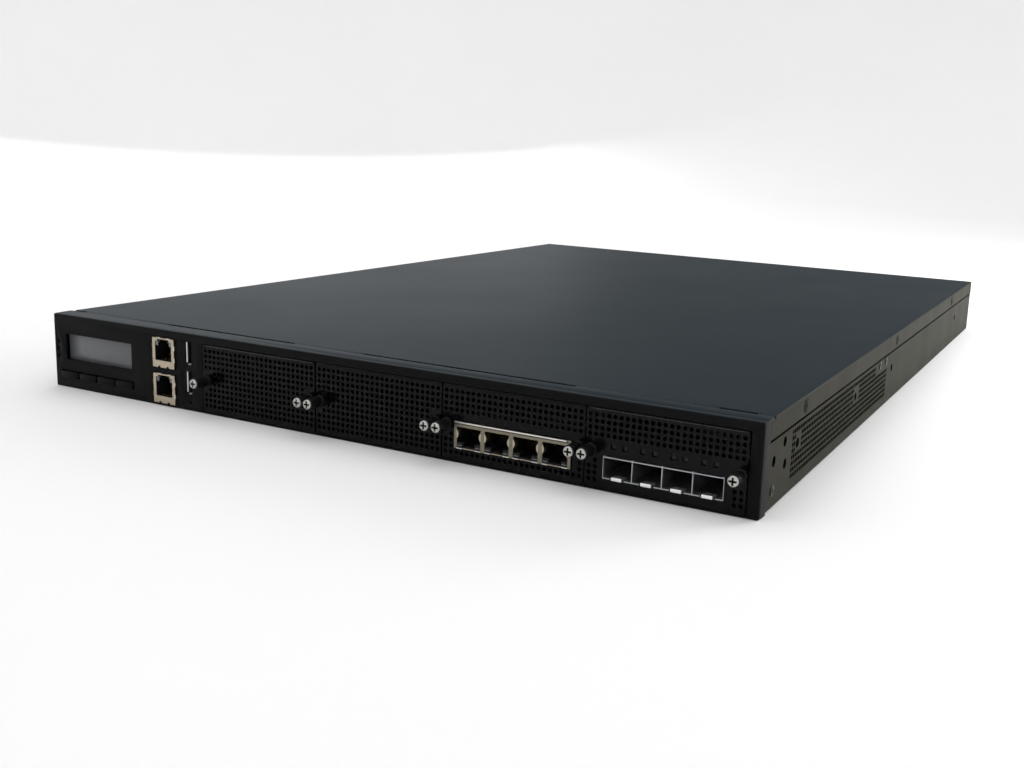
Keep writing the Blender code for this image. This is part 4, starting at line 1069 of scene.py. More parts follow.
def knurled_sleeve(length, radius):
    """A sleeve whose middle is cut by two crossing sets of helical grooves."""
    part = bmesh.new()
    columns, rows, grooves = 72, 18, 18
    depth = 0.16 * MM
    rings = [[(0, radius - 0.5 * MM)] * columns, [(0.15 * MM, radius - 0.15 * MM)] * columns,
             [(0.8 * MM, radius - 0.15 * MM)] * columns]
    for row in range(rows + 1):
        distance = 0.9 * MM + (length - 1.5 * MM) * row / rows
        ring = []
        for column in range(columns):
            angle = 2 * math.pi * column / columns
            lean = distance / radius
            cut = abs(math.sin((angle + lean) * grooves / 2)) * abs(math.sin((angle - lean)
                                                                             * grooves / 2))
            ring.append((distance, radius - depth * (1 - cut) ** 2))
        rings.append(ring)
    rings += [[(length - 0.2 * MM, radius - 0.12 * MM)] * columns,
              [(length, radius - 0.35 * MM)] * columns]
    loops = []
    for ring in rings:
        loops.append([part.verts.new((size * math.cos(2 * math.pi * i / columns),
                                      size * math.sin(2 * math.pi * i / columns), distance)) for i,
                      (distance, size) in enumerate(ring)])
    for low, high in zip(loops, loops[1:]):
        for i in range(columns):
            j = (i + 1) % columns
            part.faces.new((low[i], low[j], high[j], high[i]))
    part.faces.new(list(reversed(loops[0])))
    part.faces.new(loops[-1])
    return part


# ---- rear wall ----------------------------------------------------------
def grille(x, z, reach, pitch, radius):
    """Round holes in staggered rows inside a circle, in (x, z)."""
    holes = []
    count = int(reach / pitch) + 1
    for row in range(-count, count + 1):
        for column in range(-count, count + 1):
            u, v = (column + row % 2 / 2) * pitch, row * pitch * math.sqrt(3) / 2
            if math.hypot(u, v) <= reach - radius:
                holes.append(circle(x + u, z + v, radius, 8))
    return holes


def build_rear_wall():
    """Rear sheet with its fan grilles, vent field, openings, folded top edge and ground stud."""
    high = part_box("chassis_tray")[1]
    side, top = high.x - 1.7 * MM, high.z
    bay = (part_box("power_supply_1")[0].x - 0.6 * MM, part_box("power_supply_2")[1].x + 0.6 * MM)
    switch = middle_of("power_switch_housing")
    holes = [rectangle(bay, (1.5 * MM, top - 0.7 * MM)),
             rectangle(span(switch.x, 13.4 * MM), span(switch.z, 19.6 * MM))]
    shape = Shape()
    for number in range(1, 4):
        fan = middle_of(f"fan_frame_{number}")
        holes += grille(fan.x, fan.z, 18.4 * MM, 3.4 * MM, 1.4 * MM)
        for x in off(fan.x, -16, 16):
            for z in off(fan.z, -16, 16):
                holes.append(circle(x, z, 1.8 * MM, 16))
                shape.screw((x, REAR - 0.1 * MM, z), (0, 1, 0), 2.9 * MM, 1.0 * MM, "black_screw",
                            0.6)
    pitch = 3.4 * MM
    for row in range(8):
        for column in range(22):
            holes.append(circle(switch.x + 22 * MM + (column + row % 2 / 2) * pitch,
                                10 * MM + row * pitch, 1.25 * MM, 8))
    shape.plate(rectangle((-side, side), (0.6 * MM, top)), holes, SHEET, facing_y(REAR - SHEET / 2),
                "case_paint")
    shape.box((-side, side), (REAR - 8 * MM, REAR - SHEET), off(top, -0.65, -0.05), "case_paint")
    stud = (side - 8 * MM, REAR - 0.1 * MM, 5.5 * MM)
    shape.turned([(0, 0), mm(0, 4.0), mm(0.7, 4.0), mm(0.7, 0)], along(stud, (0, 1, 0)), "zinc", 28)
    shape.turned([mm(0.6, 0), mm(0.6, 3.4), mm(2.8, 3.4), mm(3.0, 3.1), mm(3.0, 0)],
                 along(stud, (0, 1, 0)), "screw_steel", 6)
    shape.turned([(0, 0), mm(0, 2), mm(5.6, 2), mm(6, 1.6), mm(6, 0)], along(stud, (0, 1, 0)),
                 "screw_steel", 20)
    shape.piece("chassis_rear_wall", "chassis", ("chassis_tray",))


# ---- fans ---------------------------------------------------------------
def add_rotor(shape, centre, tip, hub, length, blades=7):
    """A hub with a domed end and swept, twisted blades."""
    shape.turned([(-length / 2, 0), (-length / 2, hub - 0.4 * MM), (0.5 * MM - length / 2, hub),
                  (length / 2 - 1 * MM, hub), (length / 2, hub - 1.2 * MM), (length / 2, 0)],
                 along(centre, (0, 1, 0)), "black_plastic", 36)
    steps = 6
    for blade in range(blades):
        part = bmesh.new()
        layers = []
        for offset in mm(-0.4, 0.4):
            rows = []
            for i in range(steps + 1):
                share = i / steps
                radius = hub - 0.6 * MM + (tip - hub + 0.6 * MM) * share
                lead = 0.34 + 0.10 * share
                row = []
                for j in range(steps + 1):
                    along_y = j / steps - 0.5
                    angle = (2 * math.pi * blade / blades + 2 * lead * along_y
                             + 0.25 * share + offset / radius)
                    bow = 0.10 * math.cos(math.pi * along_y)
                    row.append(part.verts.new((centre.x + radius * math.cos(angle + bow),
                                               centre.y + along_y * length * 0.84,
                                               centre.z + radius * math.sin(angle + bow))))
                rows.append(row)
            layers.append(rows)
        for rows in layers:
            for i in range(steps):
                for j in range(steps):
                    part.faces.new((rows[i][j], rows[i + 1][j], rows[i + 1][j + 1], rows[i][j + 1]))
        rim = [(i, 0) for i in range(steps)] + [(steps, j) for j in range(steps)]
        rim += [(i, steps) for i in range(steps, 0, -1)] + [(0, j) for j in range(steps, 0, -1)]
        for (i, j), (k, m) in zip(rim, rim[1:] + rim[:1]):
            part.faces.new((layers[0][i][j], layers[0][k][m], layers[1][k][m], layers[1][i][j]))
        shape.add(part, "black_plastic")


def build_fans():
    """Case fans: moulded frames with struts and rotors; their leads are built with the main board.
    """
    for number in range(1, 4):
        low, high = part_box(f"fan_frame_{number}")
        middle = (low + high) / 2
        shape = Shape()
        for ys in (off(low.y, 0, 3.5), off(high.y, -3.5, 0)):
            flange = round_rectangle((low.x, high.x), (low.z, high.z), 2.2 * MM)
            holes = [circle(middle.x, middle.z, 19.0 * MM, 48)]
            holes += [circle(middle.x + a * 16 * MM, middle.z + b * 16 * MM, 1.7 * MM, 14)
                      for a in (-1, 1) for b in (-1, 1)]
            shape.plate(flange, holes, 3.5 * MM, facing_y(sum(ys) / 2), "black_plastic")
        shape.turned([mm(3.4, 19.0), mm(3.4, 19.8), mm(24.6, 19.8), mm(24.6, 19.0)],
                     along((middle.x, low.y, middle.z), (0, 1, 0)), "black_plastic", 48,
                     closed=True)
        shape.turned([(0, 0), mm(0, 8.6), mm(0.4, 9), mm(2.5, 9), mm(2.5, 0)],
                     along((middle.x, low.y, middle.z), (0, 1, 0)), "black_plastic", 36)
        for turn in range(4):
            placing = Matrix.Translation(middle) @ Matrix.Rotation(math.pi / 2 * turn + 0.3, 4, "Y")
            arm = low.y - middle.y
            shape.box(mm(8, 19.2), off(arm, 0.1, 2.4), mm(-1.1, 1.1), "black_plastic", 0.3 * MM,
                      placing)
        shape.piece(f"fan_housing_{number}", "chassis", (f"fan_frame_{number}",))
        rotor = Shape()
        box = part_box(f"fan_rotor_{number}")
        add_rotor(rotor, spin_centre(f"fan_rotor_{number}", f"fan_{number}_spin"), 18.0 * MM,
                  9 * MM, box[1].y - box[0].y)
        rotor.piece(f"fan_blades_{number}", f"fan_{number}",
                    (f"fan_rotor_{number}",))


# ---- power supplies -----------------------------------------------------
SUPPLY_FAN_OPENING = 18.4 * MM
GUARD_RINGS = (4.8, 8, 11.2, 14.4, 17.6)    # radii in millimetres, clear of the latch
def hoop(start, reach, zs, radius, steps=6):
    """A U-shaped line in (y, z) with two round corners."""
    line = [(start, zs[0])]
    for middle_z, first in ((zs[0] + radius, -math.pi / 2), (zs[1] - radius, 0)):
        for i in range(steps + 1):
            angle = first + math.pi / 2 * i / steps
            line.append((reach - radius + radius * math.cos(angle),
                         middle_z + radius * math.sin(angle)))
    return line + [(start, zs[1])]


def build_power_supply(number):
    """Plug-in supply: sheet case, guarded fan, mains inlet, coated pull handle and latch."""
    low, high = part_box(f"power_supply_{number}")
    rear = REAR + 1.5 * MM
    rotor = spin_centre(f"supply_fan_rotor_{number}", f"supply_fan_{number}_spin")
    inlet_x, inlet_z = low.x + 15.5 * MM, rotor.z - 4 * MM
    handle_x = low.x + 30.5 * MM
    fan_radius = SUPPLY_FAN_OPENING
    shape = Shape()
    face = round_rectangle((low.x, high.x), (low.z, high.z), 0.6 * MM, 2)
    inlet = rectangle(span(inlet_x, 24.2 * MM), span(inlet_z, 16.6 * MM))
    vents = [round_rectangle(span(low.x + 7 * MM + i * 4.2 * MM, 2.6 * MM), mm(32.5, 37.5),
                             1.2 * MM, 3) for i in range(5)]
    shape.plate(face, [circle(rotor.x, rotor.z, fan_radius, 48), inlet, *vents], 1 * MM,
                facing_y(rear - 0.5 * MM), "zinc")
    inner = rectangle((low.x + 0.9 * MM, high.x - 0.9 * MM), (low.z + 0.9 * MM, high.z - 0.9 * MM))
    shape.plate(face, [inner], rear - low.y - 1.9 * MM, facing_y((rear + low.y) / 2 - 0.05 * MM),
                "zinc")
    slots = [round_rectangle(span(low.x + 9 * MM + i * 6.1 * MM, 3.6 * MM), mm(22, 37), 1.7 * MM,
                             4) for i in range(10)]
    shape.plate(face, slots, 0.9 * MM, facing_y(low.y + 0.45 * MM), "zinc")
    shape.box(span((low.x + high.x) / 2, 44 * MM), off(low.y, 0.2, 10), mm(9, 17), "black_plastic",
              0.4 * MM)
    seat = along((rotor.x, rear, rotor.z), (0, 1, 0))
    shape.turned([(-16 * MM, fan_radius - 0.05 * MM), (-16 * MM, fan_radius + 0.9 * MM),
                  (-0.9 * MM, fan_radius + 0.9 * MM), (-0.9 * MM, fan_radius - 0.05 * MM)], seat,
                 "black_plastic", 48, closed=True)
    shape.turned([mm(-16.6, 0), (-16.6 * MM, fan_radius), (-15.9 * MM, fan_radius), mm(-15.9, 0)],
                 seat, "black_plastic", 48)
    for radius in GUARD_RINGS:
        wire = [(0.7 * MM + 0.55 * MM * math.sin(a), radius * MM + 0.55 * MM * math.cos(a))
                for a in [math.pi / 4 * i for i in range(8)]]
        shape.turned(wire, seat, "bright_nickel", 48, closed=True)
    for turn in (math.pi / 4, 3 * math.pi / 4):
        placing = Matrix.Translation((rotor.x, rear + 1.35 * MM, rotor.z)) @ Matrix.Rotation(turn,
                                                                                             4, "Y")
        shape.box(mm(-21.5, 21.5), mm(-0.4, 0.4), mm(-0.5, 0.5), "bright_nickel", 0.3 * MM, placing)
    for a in (-1, 1):
        for b in (-1, 1):
            spot = (rotor.x + a * 15.4 * MM, rear - 0.05 * MM, rotor.z + b * 15.4 * MM)
            shape.screw(spot, (0, 1, 0), 2.4 * MM, 1.6 * MM, "black_screw", 0.6)

    rim = [(inlet_x + u * 13.6 * MM, inlet_z + v * 10.2 * MM) for u,
           v in ((-1, -1), (1, -1), (1, 0.72), (0.78, 1), (-0.78, 1), (-1, 0.72))]
    hollow = [(inlet_x + u * 11.9 * MM, inlet_z + v * 8.1 * MM) for u,
              v in ((-1, -1), (1, -1), (1, 0.62), (0.74, 1), (-0.74, 1), (-1, 0.62))]
    shape.plate(rim, [hollow], 1.2 * MM, facing_y(rear + 0.62 * MM), "black_plastic")
    sleeve = rectangle(span(inlet_x, 24.1 * MM), span(inlet_z, 16.5 * MM))
    shape.plate(sleeve, [hollow], 16.5 * MM, facing_y(rear - 8.3 * MM), "black_plastic")
    shape.box(span(inlet_x, 24.1 * MM), off(rear, -17.4, -16.4), span(inlet_z, 16.5 * MM),
              "black_plastic")
    for u, v in ((-7.0, -1.8), (0.0, 1.8), (7.0, -1.8)):
        shape.box(span(inlet_x + u * MM, 2.0 * MM), off(rear, -16.6, -4),
                  span(inlet_z + v * MM, 4.0 * MM), "bright_nickel", 0.35 * MM)

    loop = hoop(rear - 0.3 * MM, rear + 21.5 * MM, mm(7, 36), 5 * MM)
    loop += hoop(rear - 0.3 * MM, rear + 18 * MM, mm(10.5, 32.5), 2.5 * MM)[::-1]
    shape.prism([(handle_x - 1.5 * MM, y, z) for y, z in loop], (3 * MM, 0, 0), "rubber", 0.6 * MM)
    shape.piece(f"supply_case_{number}", f"supply_{number}",
                (f"power_supply_{number}",))
    rotor_shape = Shape()
    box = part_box(f"supply_fan_rotor_{number}")
    add_rotor(rotor_shape, rotor, 17.0 * MM, 8.5 * MM, box[1].y - box[0].y - 1.6 * MM)
    rotor_shape.piece(f"supply_fan_blades_{number}", f"supply_fan_{number}",
                      (f"supply_fan_rotor_{number}",))

    low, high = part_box(f"supply_latch_{number}")
    pivot = Vector((high.x - 1.6 * MM, low.y + 1.6 * MM, (low.z + high.z) / 2))
    latch = Shape()
    latch.turned([mm(-6, 0), mm(-6, 1.4), mm(-5.7, 1.6), mm(5.7, 1.6), mm(6, 1.4), mm(6, 0)],
                 Matrix.Translation(pivot), "latch_plastic", 24)
    lever = [(-1, 0), (1, 0), (1, 11.8), (0.4, 13), (-5.5, 13), (-5.5, 11.2), (-1.8, 11.0),
             (-1, 10)]
    latch.prism([(pivot.x + u * MM, pivot.y + v * MM, low.z) for u, v in lever],
                (0, 0, high.z - low.z), "latch_plastic", 0.35 * MM)
    for i in range(4):
        latch.box(span(high.x - 3.4 * MM - i * 1.1 * MM, 0.5 * MM), off(high.y, -0.15, 0.25),
                  (low.z + 1 * MM, high.z - 1 * MM), "latch_plastic", 0.1 * MM)
    latch.piece(f"supply_release_{number}", f"latch_{number}",
                (f"supply_latch_{number}",))


# ---- power switch -------------------------------------------------------
def build_power_switch():
    """Snap-in rocker switch: a moulded frame, its body with blades behind, and the rocker."""
    low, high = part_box("power_switch_housing")
    x, z = (low.x + high.x) / 2, (low.z + high.z) / 2
    shape = Shape()
    opening = round_rectangle(span(x, 10.6 * MM), span(z, 17 * MM), 0.8 * MM, 3)
    shape.plate(round_rectangle((low.x, high.x), (low.z, high.z), 1.6 * MM), [opening], 1.7 * MM,
                facing_y(REAR + GAP + 0.85 * MM), "black_plastic")
    shape.plate(rectangle(span(x, 12.8 * MM), span(z, 19 * MM)), [opening], 9.2 * MM,
                facing_y(REAR - 4.4 * MM), "black_plastic")
    shape.box(span(x, 12.8 * MM), (low.y, REAR - 9 * MM), span(z, 19 * MM), "black_plastic",
              0.5 * MM)
    for offset in (-6.5 * MM, 0, 6.5 * MM):
        shape.box(span(x, 4.8 * MM), off(low.y, -7, 0.5), span(z + offset, 0.8 * MM), "tin",
                  0.15 * MM)
    shape.piece("switch_frame", "chassis", ("power_switch_housing",))
    dress("power_switch_rocker", "rocker_plastic", 0.4 * MM)


# ---- boards inside ------------------------------------------------------
def tube(shape, route, radius, finish, sides=8, steps=6):
    """A cable: a round section swept along a smooth line through the route's points."""
    points = [Vector(point) for point in route]
    line = []
    ends = [points[0] * 2 - points[1], *points, points[-1] * 2 - points[-2]]
    for before, first, second, after in zip(ends, ends[1:], ends[2:], ends[3:]):
        for i in range(steps):
            t = i / steps
            line.append(((2 * first) + (second - before) * t
                         + (2 * before - 5 * first + 4 * second - after) * t * t
                         + (3 * first - before - 3 * second + after) * t ** 3) / 2)
    line.append(points[-1])
    part = bmesh.new()
    rings = []
    for i, spot in enumerate(line):
        heading = line[min(i + 1, len(line) - 1)] - line[max(i - 1, 0)]
        placed = along(spot, heading)
        rings.append([part.verts.new(placed @ Vector((u, v, 0))) for u,
                      v in circle(0, 0, radius, sides)])
    for low, high in zip(rings, rings[1:]):
        for i in range(sides):
            j = (i + 1) % sides
            part.faces.new((low[i], low[j], high[j], high[i]))
    part.faces.new(rings[0][::-1])
    part.faces.new(rings[-1])
    shape.add(part, finish)


def populate(shape, xs, ys, top, keep_out, dice):
    """Small packages on a loose grid over a board, clear of some rectangles."""
    cell = 13 * MM
    for row in range(int((ys[1] - ys[0]) / cell)):
        for column in range(int((xs[1] - xs[0]) / cell)):
            x, y = xs[0] + (column + 0.5) * cell, ys[0] + (row + 0.5) * cell
            kind, size = dice.random(), dice.choice((4, 5, 7, 9)) * MM
            if any(a - 8 * MM < x < b + 8 * MM and c - 8 * MM < y < d + 8 * MM for a, b, c,
                   d in keep_out):
                continue
            if kind < 0.4:
                shape.box(span(x, size), span(y, size), off(top, 0, 1.1), "chip", 0.12 * MM)
                for side in (-1, 1):
                    shape.box(span(x, size * 0.9), span(y + side * (size / 2 + 0.5 * MM), 0.9 * MM),
                              off(top, 0, 0.2), "tin")
            elif kind < 0.55:
                shape.turned([(0, 0), mm(0, 3), mm(4.6, 3), mm(4.9, 2.6), mm(4.9, 0)],
                             Matrix.Translation((x, y, top)), "aluminium", 20)
            elif kind < 0.9:
                for i in range(4):
                    shape.box(span(x + (i - 1.5) * 2 * MM, 0.9 * MM), span(y, 1.7 * MM),
                              off(top, 0, 0.6), "chip" if i % 2 else "tin")


def rectangle_of(node):
    low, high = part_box(node)
    return (low.x, high.x, low.y, high.y)


def build_main_board():
    """Main board with its screws, sockets, small parts and power leads."""
    low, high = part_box("main_board")
    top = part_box("cpu_heatsink")[0].z - 3.7 * MM
    shape = Shape()
    screws = [(x, y) for x in (-0.044, 0.081, 0.201) for y in (-0.082, 0.080, 0.248)]
    shape.plate(rectangle((low.x, high.x), (low.y, high.y)),
                [circle(x, y, 1.6 * MM, 14) for x, y in screws], top - low.z,
                facing_z((top + low.z) / 2), "circuit")
    for x, y in screws:
        shape.screw((x, y, top), (0, 0, 1), 2.9 * MM, 1.5 * MM, "screw_steel", 0.5)
    sink = middle_of("cpu_heatsink")
    shape.box(span(sink.x, 60 * MM), span(sink.y, 60 * MM), off(top, 0, 3.4), "grey_plastic",
              0.4 * MM)
    keep = [rectangle_of("cpu_heatsink")]
    for number in (1, 2):
        x0, x1, y0, y1 = rectangle_of(f"memory_module_{number}")
        x = (x0 + x1) / 2
        for side in (-1, 1):
            shape.box(span(x + side * 2.1 * MM, 2.4 * MM), (y0 - 3 * MM, y1 + 3 * MM),
                      off(top, 0, 6), "black_plastic", 0.25 * MM)
            y = y1 + 3.2 * MM if side > 0 else y0 - 3.2 * MM
            shape.box(span(x, 4.4 * MM), span(y, 4 * MM), off(top, 0, 14), "grey_plastic", 0.5 * MM)
        keep.append((x - 4 * MM, x + 4 * MM, y0 - 6 * MM, y1 + 6 * MM))
    strip = (span(sink.x, 120 * MM), off(low.y, 6.5, 13.5))
    shape.box(*strip, off(top, 0, 3.4), "white_plastic", 0.3 * MM)
    keep.append((*strip[0], *strip[1]))
    hub = (sink.x + 55 * MM, high.y - 52 * MM)
    shape.box(span(hub[0], 26 * MM), span(hub[1], 26 * MM), off(top, 0, 2.4), "chip", 0.3 * MM)
    for i in range(7):
        shape.box(span(hub[0] + (i - 3) * 3.6 * MM, 1.2 * MM), span(hub[1], 24 * MM),
                  off(top, 2.4, 9), "aluminium", 0.15 * MM)
    shape.box(span(hub[0], 24 * MM), span(hub[1], 24 * MM), off(top, 2.2, 3.2), "aluminium")
    keep += [(hub[0] - 13 * MM, hub[0] + 13 * MM, hub[1] - 13 * MM, hub[1] + 13 * MM)]
    keep += [(x - 3 * MM, x + 3 * MM, y - 3 * MM, y + 3 * MM) for x, y in screws]
    plug = (low.x + 10 * MM, low.y + 172 * MM)
    shape.box(span(plug[0], 10 * MM), span(plug[1], 26 * MM), off(top, 0, 9), "black_plastic",
              0.4 * MM)
    keep.append((plug[0] - 5 * MM, plug[0] + 5 * MM, plug[1] - 13 * MM, plug[1] + 13 * MM))
    populate(shape, (low.x, high.x), (low.y, high.y - 12 * MM), top, keep, random.Random(11))
    shape.piece("main_board_parts", "chassis", ("main_board",))

    leads = Shape()
    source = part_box("power_board")
    for i in range(10):
        start = (source[1].x - 24 * MM + i % 5 * 3 * MM, source[0].y - 2 * MM,
                 22 * MM + i // 5 * 3 * MM)
        end = (plug[0], plug[1] - 9 * MM + i * 2 * MM, top + 8.6 * MM)
        rise = (plug[0] - 6 * MM, plug[1] - 9 * MM + i * 2 * MM, top + 19 * MM)
        tube(leads, [start, (start[0], start[1] - 14 * MM, start[2] + 1 * MM), rise, end], 0.9 * MM,
             "lead_red" if i % 5 == 2 else "cable_grey")
    for number in (1, 2, 3):
        fan_low, fan_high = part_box(f"fan_frame_{number}")
        root = ((fan_low.x + fan_high.x) / 2 + 15 * MM, fan_low.y - 0.3 * MM, 12 * MM)
        header = (root[0] + 4 * MM, high.y - 8 * MM, top)
        leads.box(span(header[0], 10 * MM), span(header[1], 5 * MM), off(top, 0, 5.5),
                  "white_plastic", 0.3 * MM)
        for i in range(4):
            foot = (header[0] + (i - 1.5) * 2.2 * MM, header[1], top + 5.4 * MM)
            loop = (foot[0], header[1] + 1 * MM, top + 11 * MM)
            tube(leads, [(root[0] + (i - 1.5) * 1.2 * MM, root[1] + 4 * MM, root[2]),
                         (root[0] + (i - 1.5) * 1.4 * MM, root[1] - 3 * MM, root[2] + 2 * MM), loop,
                         foot], 0.55 * MM, ("cable_grey", "lead_red", "lead_yellow",
                                            "lead_blue")[i], 6, 5)
    leads.piece("power_and_fan_leads", "chassis")


def build_inner_parts():
    """Heatsink, memory, drive, backplane, power board and the modules' boards."""
    dress("cpu_heatsink", "aluminium", 0.12 * MM)
    low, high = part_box("cpu_heatsink")
    bolts = Shape()
    for x in (low.x + 6.5 * MM, high.x - 6.5 * MM):
        for y in (low.y - 3.4 * MM, high.y + 3.4 * MM):
            bolts.box(span(x, 9 * MM), span(y, 8 * MM), off(low.z, 0.2, 2.2), "zinc", 0.3 * MM)
            bolts.turned([(0, 0), mm(0, 1.4), mm(7.5, 1.4), mm(7.5, 0)],
                         Matrix.Translation((x, y, low.z + 2 * MM)), "screw_steel", 14)
            for i in range(5):
                ring = [(2.6 * MM + i * 1.2 * MM + 0.3 * MM * math.sin(a),
                         2.2 * MM + 0.3 * MM * math.cos(a))
                        for a in [math.pi / 3 * j for j in range(6)]]
                bolts.turned(ring, Matrix.Translation((x, y, low.z)), "screw_steel", 20,
                             closed=True)
            bolts.screw((x, y, low.z + 9.2 * MM), (0, 0, 1), 3.2 * MM, 1.6 * MM, "screw_steel", 0.5)
    bolts.piece("heatsink_bolts", "chassis")

    for number in (1, 2):
        low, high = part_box(f"memory_module_{number}")
        x = (low.x + high.x) / 2
        stick = Shape()
        stick.box(span(x, 1.3 * MM), (low.y, high.y), (low.z, high.z), "circuit", 0.1 * MM)
        for side in (-1, 1):
            stick.box(span(x + side * 0.68 * MM, 0.12 * MM), (low.y + 2 * MM, high.y - 2 * MM),
                      off(low.z, 0.3, 3), "gold")
            for chip in range(8):
                y = (low.y + high.y) / 2 + (chip - 3.5) * 16 * MM
                stick.box(span(x + side * 1.2 * MM, 1.2 * MM), span(y, 11 * MM), off(low.z, 8, 22),
                          "chip", 0.15 * MM)
        stick.piece(f"memory_stick_{number}", "chassis",
                    (f"memory_module_{number}",))

    low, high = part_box("solid_state_drive")
    drive = Shape()
    drive.box((low.x, high.x), (low.y, high.y), (low.z, high.z - 0.3 * MM), "aluminium", 0.6 * MM)
    drive.box((low.x + 5 * MM, high.x - 5 * MM), (low.y + 8 * MM, high.y - 18 * MM),
              off(high.z, -0.4, -0.2), "label_grey")
    drive.box((low.x + 12 * MM, high.x - 24 * MM), off(high.y, -0.5, 2), off(low.z, 1, 5),
              "black_plastic", 0.3 * MM)
    for x in (low.x + 4 * MM, high.x - 4 * MM):
        for y in (low.y + 4 * MM, high.y - 5 * MM):
            drive.screw((x, y, high.z - 0.35 * MM), (0, 0, 1), 1.9 * MM, 0.7 * MM, "screw_steel",
                        0.4)
    drive.piece("drive_case", "chassis", ("solid_state_drive",))

    low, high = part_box("module_backplane")
    plane = Shape()
    face = high.y - 1.6 * MM
    cuts = []
    for number in range(8):
        cuts.append(round_rectangle(span(low.x + 20 * MM + number * 38 * MM, 26 * MM), mm(19, 33),
                                    2 * MM))
    plane.plate(rectangle((low.x, high.x), (low.z, high.z)), cuts, 1.6 * MM,
                facing_y(high.y - 0.8 * MM), "circuit")
    for node in ("blank_module_1", "blank_module_2", "copper_module_tray", "fibre_module_tray"):
        x = middle_of(node).x
        plane.box(span(x, 52 * MM), (low.y, face + 0.1 * MM), mm(4.8, 12), "black_plastic",
                  0.35 * MM)
        for i in range(24):
            plane.box(span(x + (i - 11.5) * 2 * MM, 0.9 * MM), off(low.y, -0.05, 0.4), mm(7.6, 9.4),
                      "gold")
    plane.piece("backplane_board", "chassis", ("module_backplane",))

    low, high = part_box("power_board")
    power = Shape()
    power.box((low.x, high.x), off(low.y, 0, 1.6), (low.z, high.z), "circuit", 0.1 * MM)
    for number in (1, 2):
        x = (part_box(f"power_supply_{number}")[0].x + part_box(f"power_supply_{number}")[1].x) / 2
        power.box(span(x, 50 * MM), (low.y + 1.5 * MM, high.y), mm(8, 18), "black_plastic",
                  0.4 * MM)
        for i in range(6):
            place = (x + (i - 2.5) * 11 * MM, low.y, 32 * MM)
            power.turned([(0, 0), mm(0, 4), mm(13.5, 4), mm(14, 3.5), mm(14, 0)],
                         along(place, (0, -1, 0)), "cable_grey", 22)
            power.turned([mm(13.9, 0), mm(13.9, 3.4), mm(14.1, 3.3), mm(14.1, 0)],
                         along(place, (0, -1, 0)), "aluminium", 22)
    power.box(off(high.x, -30, -4), off(low.y, -6, 0.1), mm(19.5, 28), "white_plastic", 0.4 * MM)
    power.piece("power_board_parts", "chassis", ("power_board",))

    for kind, body, block in (("copper", "module_3", "copper_port_block"),
                              ("fibre", "module_4", "fibre_cage_block")):
        low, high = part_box(f"{kind}_module_board")
        board = Shape()
        board.box((low.x, high.x), (low.y, high.y), (low.z, high.z), "circuit", 0.1 * MM)
        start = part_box(block)[1].y + 4 * MM
        chip_y = start + 34 * MM
        x = (low.x + high.x) / 2
        board.box(span(x, 24 * MM), span(chip_y, 24 * MM), off(high.z, 0, 1.6), "chip", 0.2 * MM)
        for i in range(6):
            board.box(span(x + (i - 2.5) * 3.8 * MM, 1.2 * MM), span(chip_y, 22 * MM),
                      off(high.z, 2.2, 8), "aluminium", 0.12 * MM)
        board.box(span(x, 22 * MM), span(chip_y, 22 * MM), off(high.z, 1.5, 2.4), "aluminium")
        board.box(span(x, 48 * MM), off(high.y, -11, -0.5), off(high.z, 0, 3.4), "black_plastic",
                  0.3 * MM)
        keep = [(x - 12 * MM, x + 12 * MM, chip_y - 12 * MM, chip_y + 12 * MM)]
        populate(board, (low.x, high.x), (start, high.y - 20 * MM), high.z, keep, random.Random(5))
        board.piece(f"{kind}_board_parts", body, (f"{kind}_module_board",))


# ---- stage --------------------------------------------------------------
FLOOR_RADIUS = 2.2
FLOOR_CURVE = 1.4
FLOOR_WALL_TOP = 3.2
FLOOR_SIDES = 96
WORLD_STRENGTH = 1.05
# a light's name, place, target, size and power in watts
LIGHTS = (
    ("overhead_softbox", (-0.5, 0.5, 2.6), (0, 0, 0), (2.4, 2.4), 12),
    ("left_softbox", (-1.8, 1.7, 0.65), (-0.1, 0.2, 0), (1.8, 0.9), 8),
    ("side_softbox", (0.80, 0.66, 0.38), (0.2, 0.25, 0.02), (0.5, 0.4), 7),
)


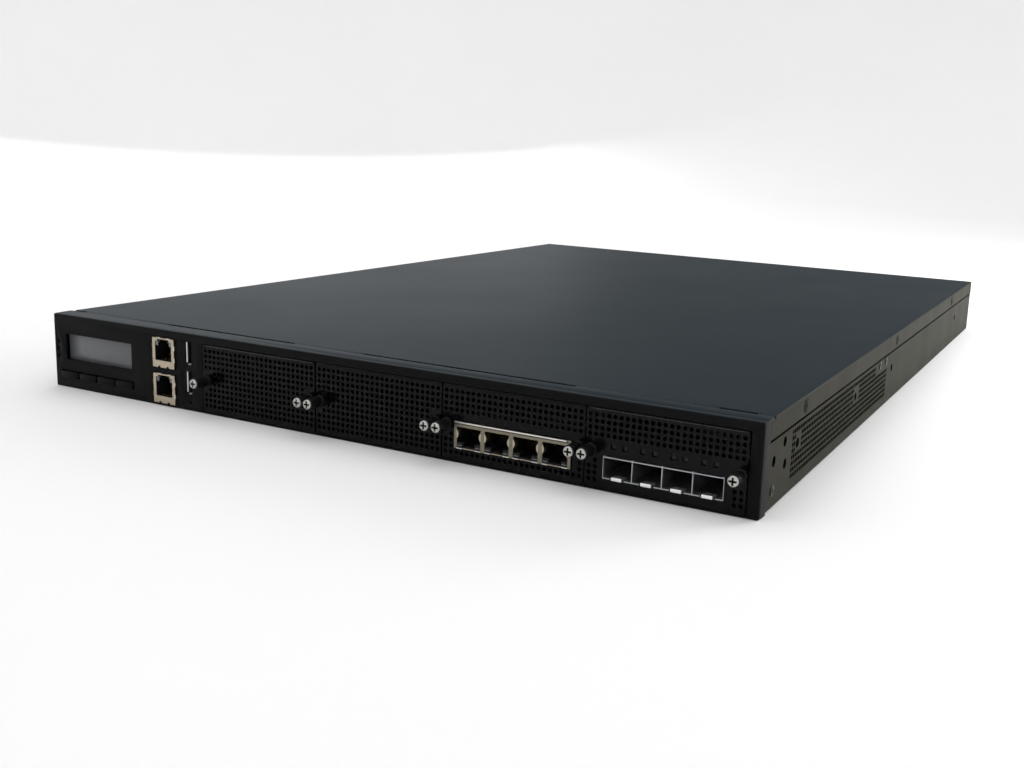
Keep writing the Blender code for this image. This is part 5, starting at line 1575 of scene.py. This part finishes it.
def build_stage():
    """Pale floor that curves up all round, a white world and soft lights."""
    pale = textured("pale_floor", (0.86, 0.86, 0.86), 0.9, specular=0.1, mottle=(2, 0.01),
                    grain=(40, 0.0), uneven=0.02)
    inner, wall = FLOOR_RADIUS, FLOOR_CURVE
    profile = [(0, 0), (0, inner)]
    for i in range(1, 13):
        angle = math.pi / 2 * i / 12
        profile.append((wall - wall * math.cos(angle), inner + wall * math.sin(angle)))
    profile.append((FLOOR_WALL_TOP, inner + wall))
    floor = bmesh.new()
    rings = []
    for height, radius in profile:
        points = circle(0, 0, radius, FLOOR_SIDES if radius else 1)
        rings.append([floor.verts.new((*point, height)) for point in points])
    for low, high in zip(rings, rings[1:]):
        for i in range(FLOOR_SIDES):
            j = (i + 1) % FLOOR_SIDES
            corners = (low[i % len(low)], low[j % len(low)], high[j], high[i])
            floor.faces.new(list(dict.fromkeys(corners)))
    mesh = bpy.data.meshes.new("pale_floor")
    floor.to_mesh(mesh)
    floor.free()
    mesh.materials.append(pale)
    mesh.shade_smooth()
    stage = bpy.data.objects.new("pale_floor", mesh)
    bpy.context.scene.collection.objects.link(stage)

    world = bpy.data.worlds.new("studio")
    world.use_nodes = True
    world.node_tree.nodes["Background"].inputs["Color"].default_value = (1.0, 1.0, 1.0, 1)
    world.node_tree.nodes["Background"].inputs["Strength"].default_value = WORLD_STRENGTH
    bpy.context.scene.world = world
    bpy.context.scene.view_settings.view_transform = "Standard"

    for name, place, target, size, power in LIGHTS:
        lamp = bpy.data.lights.new(name, "AREA")
        lamp.shape = "RECTANGLE"
        lamp.size, lamp.size_y = size
        lamp.energy = power
        made = bpy.data.objects.new(name, lamp)
        made.location = place
        made.rotation_euler = (Vector(target) - Vector(place)).to_track_quat("-Z", "Y").to_euler()
        made.visible_camera = False
        bpy.context.scene.collection.objects.link(made)


def build_camera():
    """Camera at the photograph's viewing angle."""
    forward = Vector((-math.sin(CAMERA_HEADING) * math.cos(CAMERA_DIP),
                      math.cos(CAMERA_HEADING) * math.cos(CAMERA_DIP), -math.sin(CAMERA_DIP)))
    level = forward.cross(Vector((0, 0, 1))).normalized()
    upright = level.cross(forward)
    right = level * math.cos(CAMERA_ROLL) + upright * math.sin(CAMERA_ROLL)
    above = upright * math.cos(CAMERA_ROLL) - level * math.sin(CAMERA_ROLL)
    lens = bpy.data.cameras.new("photo_view")
    lens.lens = CAMERA_LENS
    lens.shift_x, lens.shift_y = CAMERA_SHIFT
    lens.clip_start, lens.clip_end = 0.01, 50
    camera = bpy.data.objects.new("photo_view", lens)
    turned = Matrix((right, above, -forward)).transposed().to_4x4()
    camera.matrix_world = Matrix.Translation(CAMERA_SPOT) @ turned
    bpy.context.scene.collection.objects.link(camera)
    bpy.context.scene.camera = camera


build_stage()
build_camera()
build_walls()
build_floor()
build_cover()
build_bezel()
build_display()
build_small_front_parts()
build_management_jacks()
build_usb_ports()
build_modules()
build_copper_block()
build_fibre_cages()
build_thumbscrews()
build_rear_wall()
build_fans()
for supply in (1, 2):
    build_power_supply(supply)
build_power_switch()
build_main_board()
build_inner_parts()
